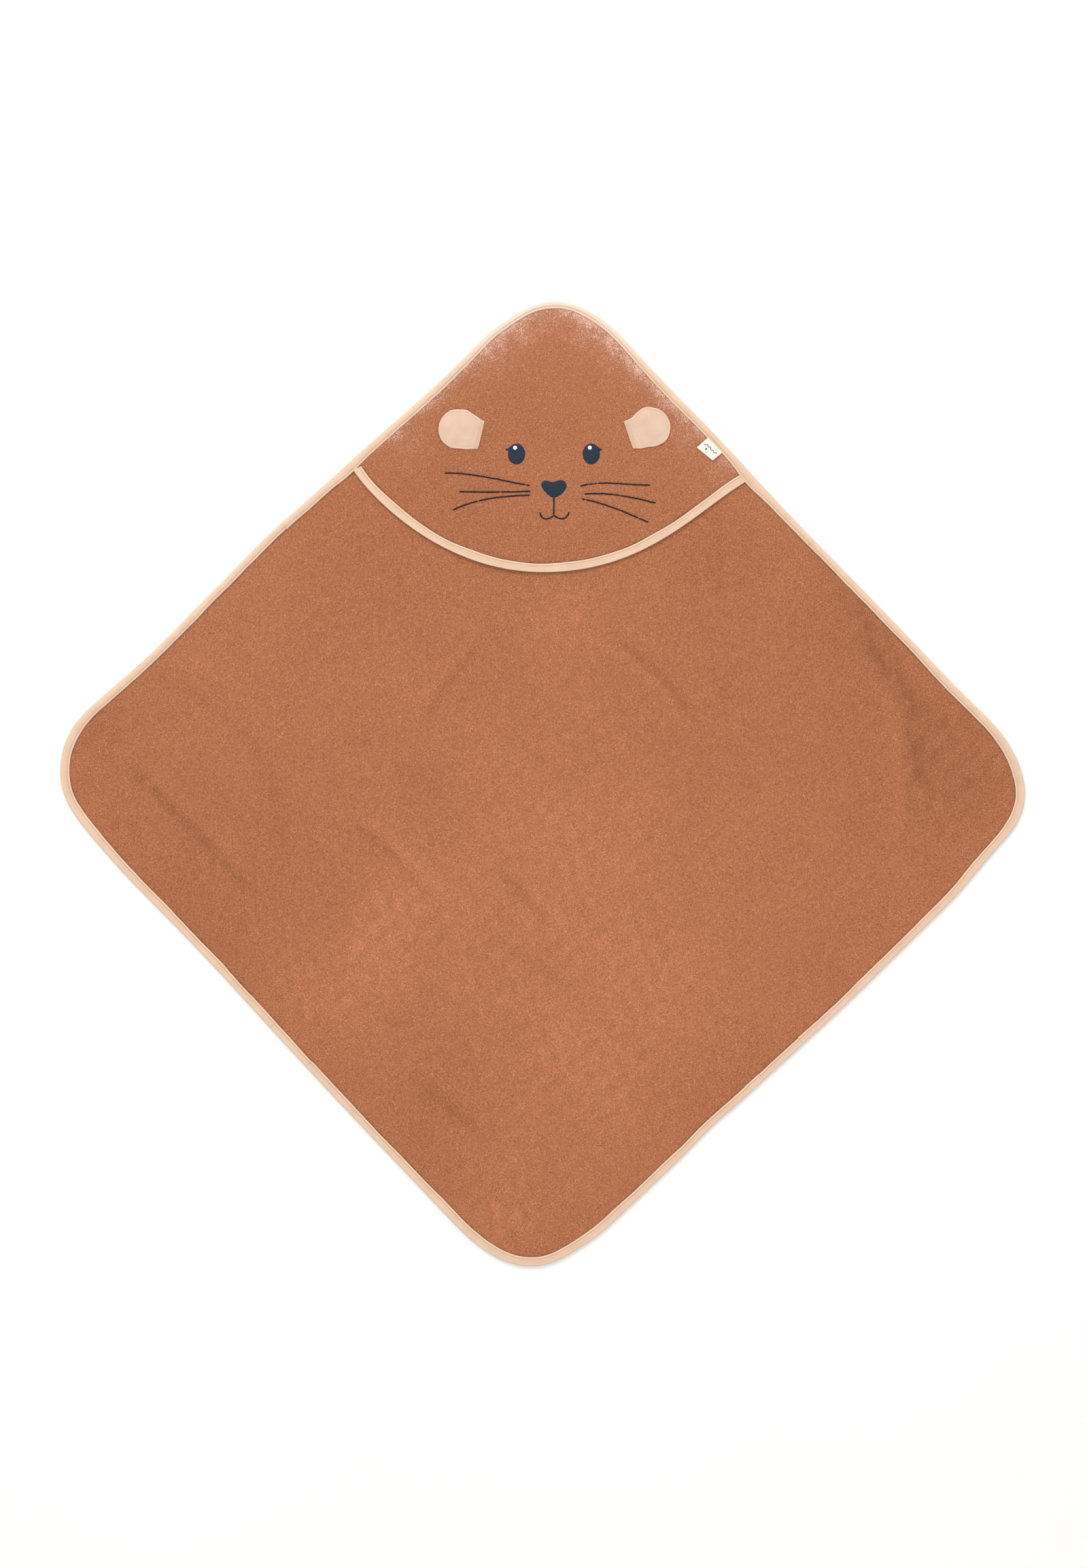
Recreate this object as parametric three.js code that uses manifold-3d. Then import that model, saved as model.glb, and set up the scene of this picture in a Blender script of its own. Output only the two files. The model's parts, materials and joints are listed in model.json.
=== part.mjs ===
// A hooded baby towel, lying open and flat: a square of terry cloth with rounded corners, a small hood sewn
// into one corner, and one soft binding folded round the whole edge. The hood carries two jersey ears, an
// embroidered animal face and a folded tape label. Millimetres, +Z up, the towel lies on Z = 0, the hood's
// corner points to +Y, and the origin is under the middle of the towel.
import * as THREE from "three";
import { mergeVertices } from "three/addons/utils/BufferGeometryUtils.js";
import Module from "manifold-3d";

const wasm = await Module();
wasm.setup();

// ---- driving dimensions -----------------------------------------------------------------------------
const clearance = 0.3; // between pieces that lie on each other

// the towel square
const towelSide = 800; // one finished side, measured to the sharp corner
const cornerReach = 120; // how far along the side the rounding of a corner starts
const cornerCut = 39; // how far the rounded corner stays inside the sharp one
const clothThickness = 2.6; // terry with its loops

// the edge binding, a strip of jersey folded over the edge
const bindingWidth = 9; // what shows on the face
const bindingSkin = 0.5; // the jersey itself
const edgePocket = 1; // from the outer edge of a binding to the cloth inside it

// the hood, a second layer of terry over one corner
const hoodReach = 309; // along the side, from the sharp hood corner to the end of the hood's hem
const hemSag = 108; // how far the hem curves down below the line on which the hood folds back
const hemLowShift = -12; // the lowest point of the hem, sideways from the middle
const hemLowHandle = 114.5; // how flat the hem runs through its lowest point
const hemLeftHandle = [7.5, -14.5]; // the hem's direction where it leaves the left side
const hemRightHandle = [-56, -35.8]; // and the right side
const hemWidth = 9.7; // the binding folded over the hem
const hoodThickness = 2.4;
const hoodPressed = 1; // hood cloth pressed between the layers of the edge binding
const hemPressed = 1.3; // hood cloth pressed inside the hem binding
const hoodMargin = 24; // the hood lies flat on the towel this far from the edge
const hoodRamp = 40; // then it rises over this width
const hoodRise = 5.4; // by this much, which leaves the pocket for the head open
const foldAboveHemEnd = 2.5; // the hood folds back on a line just above the two ends of its hem
const hemLead = 20; // the cutting line of the hem runs straight on past its ends by this much

// the corners that wrap over the child: left and right at the sides, foot at the bottom
const sideFoldOut = 12; // each side fold runs this far outside the line through the middles of two sides
const footFoldOut = 37; // and the foot fold this far
const foldGap = 0.3; // between the two halves of a cloth at its fold

// the face, embroidered a little off the middle and turned a little on the hood
const faceShift = 3;
const faceAboveFold = 16; // from the fold line to the line through the eyes
const faceTurn = THREE.MathUtils.degToRad(1.5);
const stitchHeight = 0.5; // satin stitch standing on the cloth
const stitchGap = 0.05; // between a row of stitches and the cloth under it
const eyeSpacing = 81.4;
const eyeWidth = 18.9;
const eyeHeight = 22.7;
const lashTip = [13.2, 5.2]; // the lash point, outward and upward from the eye's middle
const lashFrom = THREE.MathUtils.degToRad(12); // where the lash leaves the eye, round from its outer side
const lashTo = THREE.MathUtils.degToRad(46);
const glintRadius = 2.2;
const glintPlace = [-1.6, 6.8];
const noseWidth = 27.8;
const noseHeight = 19;
const noseTop = -28.4; // from the eye line
const lineWidth = 1.5; // embroidered line
const mouthDrop = 19.2; // the upright line from the nose to the smile
const smileEnds = [[-15, 3.0], [16.4, 4.2]]; // from the foot of the upright line to the ends of the smile
const smileSag = 8; // how far the smile's curves are pulled down

// the ears, two layers of jersey sewn down on their inner edge
const earPlace = [[-79, 20.3], [81.2, 20.1]]; // middle of the sewn edge, from the middle of the eye line
const earTilt = [13.4, 19].map(THREE.MathUtils.degToRad); // each sewn edge leans out at its foot
const earRadius = 22;
const earCentre = 25.7; // from the sewn edge to the middle of the round
const earLift = 1; // the round sits this much higher than the middle of the sewn edge
const earBase = 30.8; // length of the sewn edge
const earSeam = 4.5; // from the edge to the row of stitches that holds the ear
const earLayer = 0.7;

// the label, a folded tape caught under the binding on the right of the hood
const labelAboveHem = 47.5; // along the side, from the end of the hem to the middle of the label
const labelWidth = 22.5;
const labelShows = 13.5;
const labelTucked = 6;
const labelLayer = 0.4;
const labelGap = 0.3; // between its two layers
const wavePeaks = 4; // of the wave woven into it
const waveSwing = 1.6;
const waveStroke = 0.9;
const waveMargin = 4; // from the wave to the sides of the label

// rows of sewing
const threadWidth = 0.5;
const threadHeight = 0.3;
const edgeRowInset = 2.3; // from the inner edge of a binding to its row

// ---- heights and places that follow -----------------------------------------------------------------
const slant = Math.SQRT1_2;
const sharpCorner = towelSide * slant; // from the middle of the towel to a sharp corner
const clothInBinding = bindingSkin + clearance; // underside of the towel cloth inside the binding
const hoodLow = clothThickness + clearance; // underside of the hood where it lies on the towel
const labelLow = hoodLow + hoodPressed + clearance; // the tucked end of the label
const bindingHeight = labelLow + labelLayer + clearance + bindingSkin;
const hoodTop = hoodLow + hoodRise + hoodThickness; // the raised part of the hood
const hemHeight = hoodThickness + bindingSkin;
const hemEndInset = bindingWidth - clearance;
const hemEndX = (hoodReach - hemEndInset) * slant;
const hemEndY = sharpCorner - (hoodReach + hemEndInset) * slant;
const hoodFoldY = hemEndY + foldAboveHemEnd;
const sideFoldX = sharpCorner / 2 + sideFoldOut;
const footFoldY = sharpCorner / 2 + footFoldOut;
const far = 2 * towelSide; // larger than anything on the towel
const cornerSteps = 14;
const hemSteps = 14; // along each half of the hem
const whiskerSteps = 14;
const smileSteps = 10;

// ---- colours ----------------------------------------------------------------------------------------
const cloth = (color, roughness) => () => new THREE.MeshStandardMaterial({ color, roughness, metalness: 0 });
const terry = cloth(0xbc7a55, 0.97);
const bindingJersey = cloth(0xefcaa9, 0.9);
const earJersey = cloth(0xf0ceb4, 0.92);
const satinThread = cloth(0x343d4f, 0.5);
const lineThread = cloth(0x3b3237, 0.6);
const glintThread = cloth(0xf4f1ea, 0.5);
const sewingThread = cloth(0xe6b98f, 0.7);
const labelTape = cloth(0xf3f0e6, 0.8);
const labelInk = cloth(0x4a4640, 0.8);

// ---- solids -----------------------------------------------------------------------------------------
function solid(geometry) {
  const bare = geometry.clone();
  bare.deleteAttribute("normal");
  bare.deleteAttribute("uv");
  const merged = mergeVertices(bare, 1e-4);
  const vertProperties = merged.attributes.position.array;
  const triVerts = new Uint32Array(merged.index.array);
  return new wasm.Manifold(new wasm.Mesh({ numProp: 3, vertProperties, triVerts }));
}

function prism(shape, low, high) {
  const drawn = shape instanceof THREE.Shape ? shape : new THREE.Shape(shape);
  const settings = { depth: high - low, bevelEnabled: false, curveSegments: 20 };
  return solid(new THREE.ExtrudeGeometry(drawn, settings).translate(0, 0, low));
}

function block(x0, x1, y0, y1) {
  const size = new THREE.BoxGeometry(x1 - x0, y1 - y0, far);
  return solid(size.translate((x0 + x1) / 2, (y0 + y1) / 2, 0));
}

function place(name, made, material, parent) {
  const shape = made.getMesh();
  const geometry = new THREE.BufferGeometry();
  geometry.setAttribute("position", new THREE.BufferAttribute(new Float32Array(shape.vertProperties), 3));
  geometry.setIndex(new THREE.BufferAttribute(new Uint32Array(shape.triVerts), 1));
  geometry.computeVertexNormals();
  const mesh = new THREE.Mesh(geometry, material());
  mesh.name = name;
  parent.add(mesh);
  return mesh;
}

const leftNormal = (direction) => new THREE.Vector2(-direction.y, direction.x);
const shifted = (point, normal, by) => point.clone().addScaledVector(normal, by);

// ---- the outline of the towel -----------------------------------------------------------------------
// One corner is a curve that leaves each side with the side's own direction and passes cornerCut inside the
// sharp corner. Run anticlockwise, the towel lies on its left, so an inset moves each point to the left.
function cornerCurve() {
  const handle = ((cornerReach / 2 - cornerCut * slant) * 8) / 3;
  const onSide = (side, back) => new THREE.Vector2(side * back * slant, sharpCorner - back * slant);
  const [start, end] = [onSide(1, cornerReach), onSide(-1, cornerReach)];
  const [pullStart, pullEnd] = [onSide(1, cornerReach - handle), onSide(-1, cornerReach - handle)];
  return new THREE.CubicBezierCurve(start, pullStart, pullEnd, end);
}

function outline(inset) {
  const curve = cornerCurve();
  const points = [];
  for (let corner = 0; corner < 4; corner++)
    for (let step = 0; step <= cornerSteps; step++) {
      const at = curve.getPoint(step / cornerSteps);
      const inward = leftNormal(curve.getTangent(step / cornerSteps));
      points.push(shifted(at, inward, inset).rotateAround(new THREE.Vector2(), (corner * Math.PI) / 2));
    }
  return points;
}

// ---- the line of the hood's hem ---------------------------------------------------------------------
// Two curves meet at the lowest point. A positive offset moves the line outward, away from the hood.
function hemLine(offset) {
  const low = new THREE.Vector2(hemLowShift, hoodFoldY - hemSag);
  const left = new THREE.Vector2(-hemEndX, hemEndY);
  const right = new THREE.Vector2(hemEndX, hemEndY);
  const pull = (point, x, y) => new THREE.Vector2(point.x + x, point.y + y);
  const leftHalf = [left, pull(left, ...hemLeftHandle), pull(low, -hemLowHandle, 0), low];
  const rightHalf = [low, pull(low, hemLowHandle, 0), pull(right, ...hemRightHandle), right];
  const points = [leftHalf, rightHalf].flatMap((controls, skipped) => {
    const curve = new THREE.CubicBezierCurve(...controls);
    const steps = Array.from({ length: hemSteps + 1 }, (_, step) => step / hemSteps).slice(skipped);
    return steps.map((t) => shifted(curve.getPoint(t), leftNormal(curve.getTangent(t)), -offset));
  });
  const lead = (end, next) => end.clone().addScaledVector(end.clone().sub(next).normalize(), hemLead);
  return [lead(points[0], points[1]), ...points, lead(points.at(-1), points.at(-2))];
}

function aboveHem(offset) {
  const line = hemLine(offset);
  const roof = [new THREE.Vector2(line.at(-1).x, far), new THREE.Vector2(line[0].x, far)];
  return prism([...line, ...roof], -far, far);
}

// ---- the space the hood lies in ---------------------------------------------------------------------
// The hood's underside is flat near the edge and rises to a raised middle. hoodSpace is what lies between
// two heights measured from that underside.
function underHood(lift) {
  const settings = { depth: 1, bevelThickness: hoodRise, bevelSize: hoodRamp, bevelSegments: 3 };
  const raised = new THREE.ExtrudeGeometry(new THREE.Shape(outline(hoodMargin + hoodRamp)), settings);
  const mound = solid(raised.translate(0, 0, hoodLow + lift - 1));
  return prism(outline(0), -far, hoodLow + lift).add(mound);
}

const hoodSpace = (low, high) => underHood(high).subtract(underHood(low));

// ---- the parts of the towel that fold ---------------------------------------------------------------
const half = foldGap / 2;
const areas = {
  centre: block(-sideFoldX + half, sideFoldX - half, -footFoldY + half, far),
  left: block(-far, -sideFoldX - half, -far, far),
  right: block(sideFoldX + half, far, -far, far),
  foot: block(-sideFoldX, sideFoldX, -far, -footFoldY - half),
};

const towel = new THREE.Group();

function terryPanels() {
  const inBinding = prism(outline(edgePocket), clothInBinding, clothThickness);
  const open = prism(outline(bindingWidth + clearance), 0, clothThickness);
  const whole = inBinding.add(open);
  for (const [area, space] of Object.entries(areas))
    place(`towel_${area}_panel`, whole.intersect(space), terry, towel);
}

// the binding is a channel round the edge: a layer below, a wall outside, a layer on the face
function edgeBinding() {
  const body = prism(outline(0), 0, bindingHeight);
  const pocket = prism(outline(edgePocket - clearance), bindingSkin, bindingHeight - bindingSkin);
  const channel = body.subtract(pocket).subtract(prism(outline(bindingWidth), -far, far));
  const rowInset = bindingWidth - edgeRowInset;
  const [rowLow, rowHigh] = [bindingHeight + stitchGap, bindingHeight + stitchGap + threadHeight];
  const rowOuter = prism(outline(rowInset - threadWidth / 2), rowLow, rowHigh);
  const row = rowOuter.subtract(prism(outline(rowInset + threadWidth / 2), -far, far));
  const pieces = {
    hood: areas.centre.intersect(block(-far, far, 0, far)),
    lower_left: areas.centre.intersect(block(-far, 0, -far, 0)),
    lower_right: areas.centre.intersect(block(0, far, -far, 0)),
    left: areas.left,
    right: areas.right,
    foot: areas.foot,
  };
  for (const [piece, space] of Object.entries(pieces)) {
    place(`edge_binding_${piece}`, channel.intersect(space), bindingJersey, towel);
    place(`edge_stitches_${piece}`, row.intersect(space), sewingThread, towel);
  }
}

// ---- the hood ---------------------------------------------------------------------------------------
const clearOfBinding = prism(outline(bindingWidth + clearance), -far, far);
const aboveFold = block(-far, far, hoodFoldY + half, far);
const belowFold = block(-far, far, -far, hoodFoldY - half);

function hoodCloth() {
  const raised = hoodSpace(0, hoodThickness).intersect(clearOfBinding);
  const inBinding = prism(outline(edgePocket), hoodLow, hoodLow + hoodPressed);
  place("hood_crown", raised.add(inBinding).intersect(aboveFold), terry, towel);

  const free = raised.intersect(aboveHem(-hemWidth / 2 - clearance));
  const hemLow = bindingSkin + clearance;
  const pressed = hoodSpace(hemLow, hemLow + hemPressed).intersect(clearOfBinding);
  const inHem = pressed.intersect(aboveHem(hemWidth / 2 - edgePocket));
  place("hood_brim", free.add(inHem).intersect(belowFold), terry, towel);
}

function hoodHem() {
  const band = (outer, inner) => aboveHem(outer).subtract(aboveHem(inner));
  const space = clearOfBinding.intersect(belowFold);
  const whole = hoodSpace(0, hemHeight).intersect(band(hemWidth / 2, -hemWidth / 2));
  const pocketEdge = hemWidth / 2 - edgePocket + clearance;
  const pocket = hoodSpace(bindingSkin, hemHeight - bindingSkin).intersect(aboveHem(pocketEdge));
  place("hood_hem_binding", whole.subtract(pocket).intersect(space), bindingJersey, towel);

  const row = -hemWidth / 2 + edgeRowInset;
  const line = band(row + threadWidth / 2, row - threadWidth / 2);
  const rowLow = hemHeight + stitchGap;
  const thread = hoodSpace(rowLow, rowLow + threadHeight).intersect(line).intersect(space);
  place("hood_hem_stitches", thread, sewingThread, towel);
}

// ---- the face, in a group of its own whose origin is the middle of the eye line ---------------------
const face = new THREE.Group();
face.position.set(faceShift, hoodFoldY + faceAboveFold, hoodTop + stitchGap);
face.rotation.z = faceTurn;
towel.add(face);

// a line of stitches: a flat ribbon of even width along a curve
function ribbon(curve, width, steps) {
  const along = Array.from({ length: steps + 1 }, (_, step) => step / steps);
  const edge = (by) => along.map((t) => shifted(curve.getPoint(t), leftNormal(curve.getTangent(t)), by));
  return prism([...edge(-width / 2), ...edge(width / 2).reverse()], 0, stitchHeight);
}

function eye(name, side) {
  const shape = new THREE.Shape();
  const turn = (angle) => (side > 0 ? angle : Math.PI - angle);
  shape.absellipse(0, 0, eyeWidth / 2, eyeHeight / 2, turn(lashTo), turn(lashFrom), side < 0, 0);
  shape.lineTo(side * lashTip[0], lashTip[1]);
  const mesh = place(name, prism(shape, 0, stitchHeight), satinThread, face);
  mesh.position.set((side * eyeSpacing) / 2, 0, 0);

  const spot = new THREE.Shape().absarc(...glintPlace, glintRadius, 0, 2 * Math.PI, false);
  const glint = place(`${name}_glint`, prism(spot, 0, stitchHeight / 2), glintThread, face);
  glint.position.set((side * eyeSpacing) / 2, 0, stitchHeight + stitchGap);
}

// a rounded triangle, point down, with a shallow dip in its top edge; drawn one half at a time
function nose() {
  const [w, h] = [noseWidth / 2, noseHeight];
  const shape = new THREE.Shape();
  shape.moveTo(0, -h);
  shape.bezierCurveTo(0.25 * w, -0.98 * h, 0.46 * w, -0.82 * h, 0.74 * w, -0.6 * h);
  shape.bezierCurveTo(1.1 * w, -0.34 * h, 1.08 * w, -0.02 * h, 0.62 * w, 0);
  shape.bezierCurveTo(0.36 * w, 0, 0.18 * w, -0.11 * h, 0, -0.11 * h);
  shape.bezierCurveTo(-0.18 * w, -0.11 * h, -0.36 * w, 0, -0.62 * w, 0);
  shape.bezierCurveTo(-1.08 * w, -0.02 * h, -1.1 * w, -0.34 * h, -0.74 * w, -0.6 * h);
  shape.bezierCurveTo(-0.46 * w, -0.82 * h, -0.25 * w, -0.98 * h, 0, -h);
  const mesh = place("nose", prism(shape, 0, stitchHeight), satinThread, face);
  mesh.position.y = noseTop;
}

function mouth() {
  const top = new THREE.Vector2(0, -clearance);
  const foot = new THREE.Vector2(0, -mouthDrop);
  const upright = ribbon(new THREE.LineCurve(top, foot), lineWidth, 1);
  const smiles = smileEnds.map(([x, y]) => {
    const end = new THREE.Vector2(x, foot.y + y);
    const pull = new THREE.Vector2(x * 0.58, foot.y - smileSag);
    return ribbon(new THREE.QuadraticBezierCurve(foot, pull, end), lineWidth, smileSteps);
  });
  const mesh = place("mouth", upright.add(smiles[0]).add(smiles[1]), lineThread, face);
  mesh.position.y = noseTop - noseHeight;
}

// each whisker runs from beside the nose to its outer end
const whiskers = {
  left_whisker_upper: [[-26, -34.5], [-56, -28.6], [-82, -23.8], [-119, -20.7]],
  left_whisker_middle: [[-25.6, -40.6], [-63, -41.4], [-103, -41]],
  left_whisker_lower: [[-26, -44.9], [-56, -46.7], [-82, -51.1], [-110, -61]],
  right_whisker_upper: [[28.6, -35.2], [55, -31.7], [84, -33.1], [105, -33.7]],
  right_whisker_middle: [[33, -43.8], [55, -43.4], [73, -45.3], [111, -53.2]],
  right_whisker_lower: [[30, -48.8], [51, -53.9], [77, -63.2], [103, -74.2]],
};

function whisker(name, route) {
  const curve = new THREE.SplineCurve(route.map(([x, y]) => new THREE.Vector2(x, y)));
  place(name, ribbon(curve, lineWidth, whiskerSteps), lineThread, face);
}

// ---- the ears ---------------------------------------------------------------------------------------
// In an ear's own group X runs outward from the middle of its sewn edge. Two straight flanks leave the ends
// of that edge and touch a circle.
function earOutline(side) {
  const centre = new THREE.Vector2(earCentre, side * earLift);
  const touch = (end) => {
    const toEnd = new THREE.Vector2(0, (end * earBase) / 2).sub(centre);
    return toEnd.angle() - end * Math.acos(earRadius / toEnd.length());
  };
  const origin = new THREE.Vector2();
  const touched = new THREE.Vector2(earRadius, 0).rotateAround(origin, touch(-1)).add(centre);
  const shape = new THREE.Shape();
  shape.moveTo(0, -earBase / 2);
  shape.lineTo(touched.x, touched.y);
  shape.absarc(centre.x, centre.y, earRadius, touch(-1), touch(1), false);
  shape.lineTo(0, earBase / 2);
  return shape;
}

function ear(word, index, side) {
  const group = new THREE.Group();
  group.position.set(...earPlace[index], clearance - stitchGap);
  group.rotation.z = side > 0 ? earTilt[index] : Math.PI - earTilt[index];
  face.add(group);
  const shape = earOutline(side);
  const sewn = block(-far, earSeam - half, -far, far);
  const flap = block(earSeam + half, far, -far, far);
  const frontLow = earLayer + clearance;
  place(`${word}_ear_back`, prism(shape, 0, earLayer).intersect(flap), earJersey, group);
  place(`${word}_ear_front`, prism(shape, frontLow, frontLow + earLayer).intersect(flap), earJersey, group);
  place(`${word}_ear_sewn_edge`, prism(shape, 0, 2 * earLayer).intersect(sewn), earJersey, group);

  const row = block(earSeam - 2 * threadWidth, earSeam - threadWidth, -far, far); // just inside the seam
  const rowLow = 2 * earLayer + stitchGap;
  const thread = prism(shape, rowLow, rowLow + threadHeight).intersect(row);
  place(`${word}_ear_stitches`, thread, sewingThread, group);
}

// ---- the label --------------------------------------------------------------------------------------
// In the label's group X runs along the side towards the hood corner and Y runs in over the hood.
function label() {
  const group = new THREE.Group();
  const toCorner = (hoodReach - labelAboveHem) * slant;
  const middle = new THREE.Vector2(toCorner, sharpCorner - toCorner);
  group.position.set(middle.x, middle.y, 0);
  group.rotation.z = (3 * Math.PI) / 4;
  towel.add(group);
  const shows = bindingWidth + clearance;
  const tape = (y0, y1, low, high) => {
    const box = new THREE.BoxGeometry(labelWidth, y1 - y0, high - low);
    return solid(box.translate(0, (y0 + y1) / 2, (low + high) / 2));
  };
  const tuckedFrom = shows - clearance - labelTucked;
  const tucked = tape(tuckedFrom, shows - clearance, labelLow, labelLow + labelLayer);
  place("label_tucked_end", tucked, labelTape, group);

  const low = hoodLow + hoodThickness + clearance;
  const high = low + 2 * labelLayer + labelGap;
  const end = shows + labelShows;
  const folded = tape(shows, end, low, high);
  const inside = tape(shows - clearance, end - labelLayer, low + labelLayer, high - labelLayer);
  place("label_tape", folded.subtract(inside), labelTape, group);

  const wave = new THREE.Shape();
  const rowY = (shows + end) / 2;
  const waveStart = waveMargin - labelWidth / 2;
  const stepLength = (labelWidth - 2 * waveMargin) / (2 * wavePeaks);
  const crest = (step, by) => [waveStart + stepLength * step, rowY + by + (step % 2) * waveSwing];
  for (let step = 0; step <= 2 * wavePeaks; step++) {
    const upper = crest(step, 0);
    if (step) wave.lineTo(...upper);
    else wave.moveTo(...upper);
  }
  for (let step = 2 * wavePeaks; step >= 0; step--) wave.lineTo(...crest(step, -waveStroke));
  const inkLow = high + stitchGap;
  place("label_woven_wave", prism(wave, inkLow, inkLow + labelLayer / 2), labelInk, group);
}

terryPanels();
edgeBinding();
hoodCloth();
hoodHem();
eye("left_eye", -1);
eye("right_eye", 1);
nose();
mouth();
for (const [name, route] of Object.entries(whiskers)) whisker(name, route);
ear("left", 0, -1);
ear("right", 1, 1);
label();

export default towel;
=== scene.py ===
# %% [markdown]
# # A hooded baby towel, laid out flat
#
# The real object is one square of terry cloth with rounded corners, a second, smaller piece of terry sewn
# over one corner as a hood, a soft jersey binding folded round every edge, two jersey ears, an embroidered
# animal face and a folded tape label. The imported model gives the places, the joints and the plain solids.
# This lesson makes the cloth itself around them: each piece is a surface worked out with numpy and handed
# to Blender as one closed mesh. All lengths are metres, so `MM` turns a tailor's millimetres into them.

import json

import bpy
import numpy as np
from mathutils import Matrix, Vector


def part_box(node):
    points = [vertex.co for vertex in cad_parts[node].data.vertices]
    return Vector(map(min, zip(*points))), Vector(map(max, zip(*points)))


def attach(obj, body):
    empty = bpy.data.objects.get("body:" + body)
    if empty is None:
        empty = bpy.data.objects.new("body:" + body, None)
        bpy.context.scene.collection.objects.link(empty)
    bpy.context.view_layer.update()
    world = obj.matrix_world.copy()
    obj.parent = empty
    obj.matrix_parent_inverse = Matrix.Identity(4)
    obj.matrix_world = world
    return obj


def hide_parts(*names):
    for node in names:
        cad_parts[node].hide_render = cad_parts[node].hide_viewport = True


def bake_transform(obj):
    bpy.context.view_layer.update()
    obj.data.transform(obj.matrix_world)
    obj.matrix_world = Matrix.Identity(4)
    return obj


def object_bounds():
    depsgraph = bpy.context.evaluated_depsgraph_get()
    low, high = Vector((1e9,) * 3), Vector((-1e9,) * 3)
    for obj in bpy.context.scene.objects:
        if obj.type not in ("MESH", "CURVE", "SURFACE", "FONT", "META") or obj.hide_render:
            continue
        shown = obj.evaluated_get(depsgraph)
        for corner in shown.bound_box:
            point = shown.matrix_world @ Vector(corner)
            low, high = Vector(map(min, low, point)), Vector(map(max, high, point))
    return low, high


MM = 0.001
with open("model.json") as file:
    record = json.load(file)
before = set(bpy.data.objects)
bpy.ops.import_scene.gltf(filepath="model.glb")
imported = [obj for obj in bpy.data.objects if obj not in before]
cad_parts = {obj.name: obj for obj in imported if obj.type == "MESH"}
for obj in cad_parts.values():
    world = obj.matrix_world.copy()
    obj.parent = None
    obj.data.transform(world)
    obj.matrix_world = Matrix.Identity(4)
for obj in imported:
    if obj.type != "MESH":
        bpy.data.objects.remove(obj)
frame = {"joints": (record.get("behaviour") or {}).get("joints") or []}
cad_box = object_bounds()

# %% [markdown]
# ## Where the cloth folds
#
# The three outer corners, the front of the hood, both ears and the label can be turned over. Each has a
# hinge in the imported model. Cloth doesn't break at a hinge, it rolls over a short stretch of its length.
# The stretch could be typed in for each piece. Reading it from the hinge keeps it right: the part that lifts
# lies on the side given by *up* times *axis*. Here `bend_over` only bakes a piece's transform and bends
# nothing.

# %% Read the hinges
UP = np.array([0.0, 0.0, 1.0])


def hinge(name):
    """A hinge's place, up crossed with its axis, which points to the part that lifts, and its row."""
    joint = next(j for j in frame["joints"] if j["name"] == name)
    return np.array(joint["pos_m"]), np.cross(UP, joint["axis"]), joint


def bend_over(piece, name, lead, reach):
    """Bakes the piece's transform into its mesh and bends nothing; `name`, `lead` and `reach` are not used.
    """
    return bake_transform(piece)


CORNER_BEND = {"lead": 3 * MM, "reach": 17 * MM}
HOOD_BEND = {"lead": 3 * MM, "reach": 8.5 * MM}
EAR_BEND = {"lead": 0.5 * MM, "reach": 5 * MM}
LABEL_BEND = {"lead": 1 * MM, "reach": 4 * MM}
SIDE_FOLD = abs(hinge("left_corner_fold")[0][0])
FOOT_FOLD = abs(hinge("foot_corner_fold")[0][1])
HOOD_FOLD = hinge("hood_fold_back")[0][1]
for word, fold in (("sides", SIDE_FOLD), ("foot", FOOT_FOLD), ("hood", HOOD_FOLD)):
    print(f"fold of the {word}: {fold / MM:.1f} mm from the middle")

# %% [markdown]
# ## One builder for every piece of cloth
#
# A sheet, a folded strip, a pad of stitches and a thread are the same thing to the mesh: an outer grid of
# points, an inner grid facing it, and a narrow wall round the rim. Solidify could give a single surface
# its thickness, but the two faces of cloth are rarely the same shape: terry is fluffy above and flat
# below. So both grids are computed, and one builder closes them.


# %% Close two grids into one mesh
def add_mesh(name, points, faces, look, flat_faces=(), weave=None):
    """A mesh object from points (n, 3) and a list of arrays whose rows are the corners of one face."""
    mesh = bpy.data.meshes.new(name)
    mesh.vertices.add(len(points))
    mesh.vertices.foreach_set("co", np.ascontiguousarray(points, dtype=np.float32).ravel())
    corners = np.concatenate([f.ravel() for f in faces])
    sizes = np.concatenate([np.full(len(f), f.shape[1]) for f in faces])
    mesh.loops.add(len(corners))
    mesh.loops.foreach_set("vertex_index", corners.astype(np.int32))
    mesh.polygons.add(len(sizes))
    mesh.polygons.foreach_set("loop_start", np.r_[0, np.cumsum(sizes)[:-1]].astype(np.int32))
    smooth = np.ones(len(sizes), dtype=bool)
    smooth[list(flat_faces)] = False
    mesh.polygons.foreach_set("use_smooth", smooth)
    mesh.update(calc_edges=True)
    # the attribute carries cloth directions and the painted sheen, light and shade
    if weave is not None:
        numbers = mesh.attributes.new("weave", "FLOAT_VECTOR", "POINT").data
        numbers.foreach_set("vector", weave.astype(np.float32).ravel())
    piece = bpy.data.objects.new(name, mesh)
    bpy.context.scene.collection.objects.link(piece)
    mesh.materials.append(look)
    return piece


def quads(a, b, c, d):
    """Four arrays of point numbers, side by side, as one array of four-cornered faces."""
    return np.stack([a, b, c, d], -1).reshape(-1, 4)


def shell(outer, inner):
    """Points and faces of a closed skin round two grids (rows, columns, 3), and how many aren't its rim.

    The outer grid faces its first direction crossed with its second.
    """
    rows, columns = outer.shape[:2]
    grid = np.arange(rows * columns).reshape(rows, columns)
    face = quads(grid[:-1, :-1], grid[1:, :-1], grid[1:, 1:], grid[:-1, 1:])
    rim = np.concatenate([grid[:-1, 0], grid[-1, :-1], grid[:0:-1, -1], grid[0, :0:-1]])
    after = np.roll(rim, -1)
    far = rows * columns
    walls = quads(after, rim, rim + far, after + far)
    points = np.concatenate([outer.reshape(-1, 3), inner.reshape(-1, 3)])
    return points, np.concatenate([face, face[:, ::-1] + far, walls]), 2 * len(face)


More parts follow.
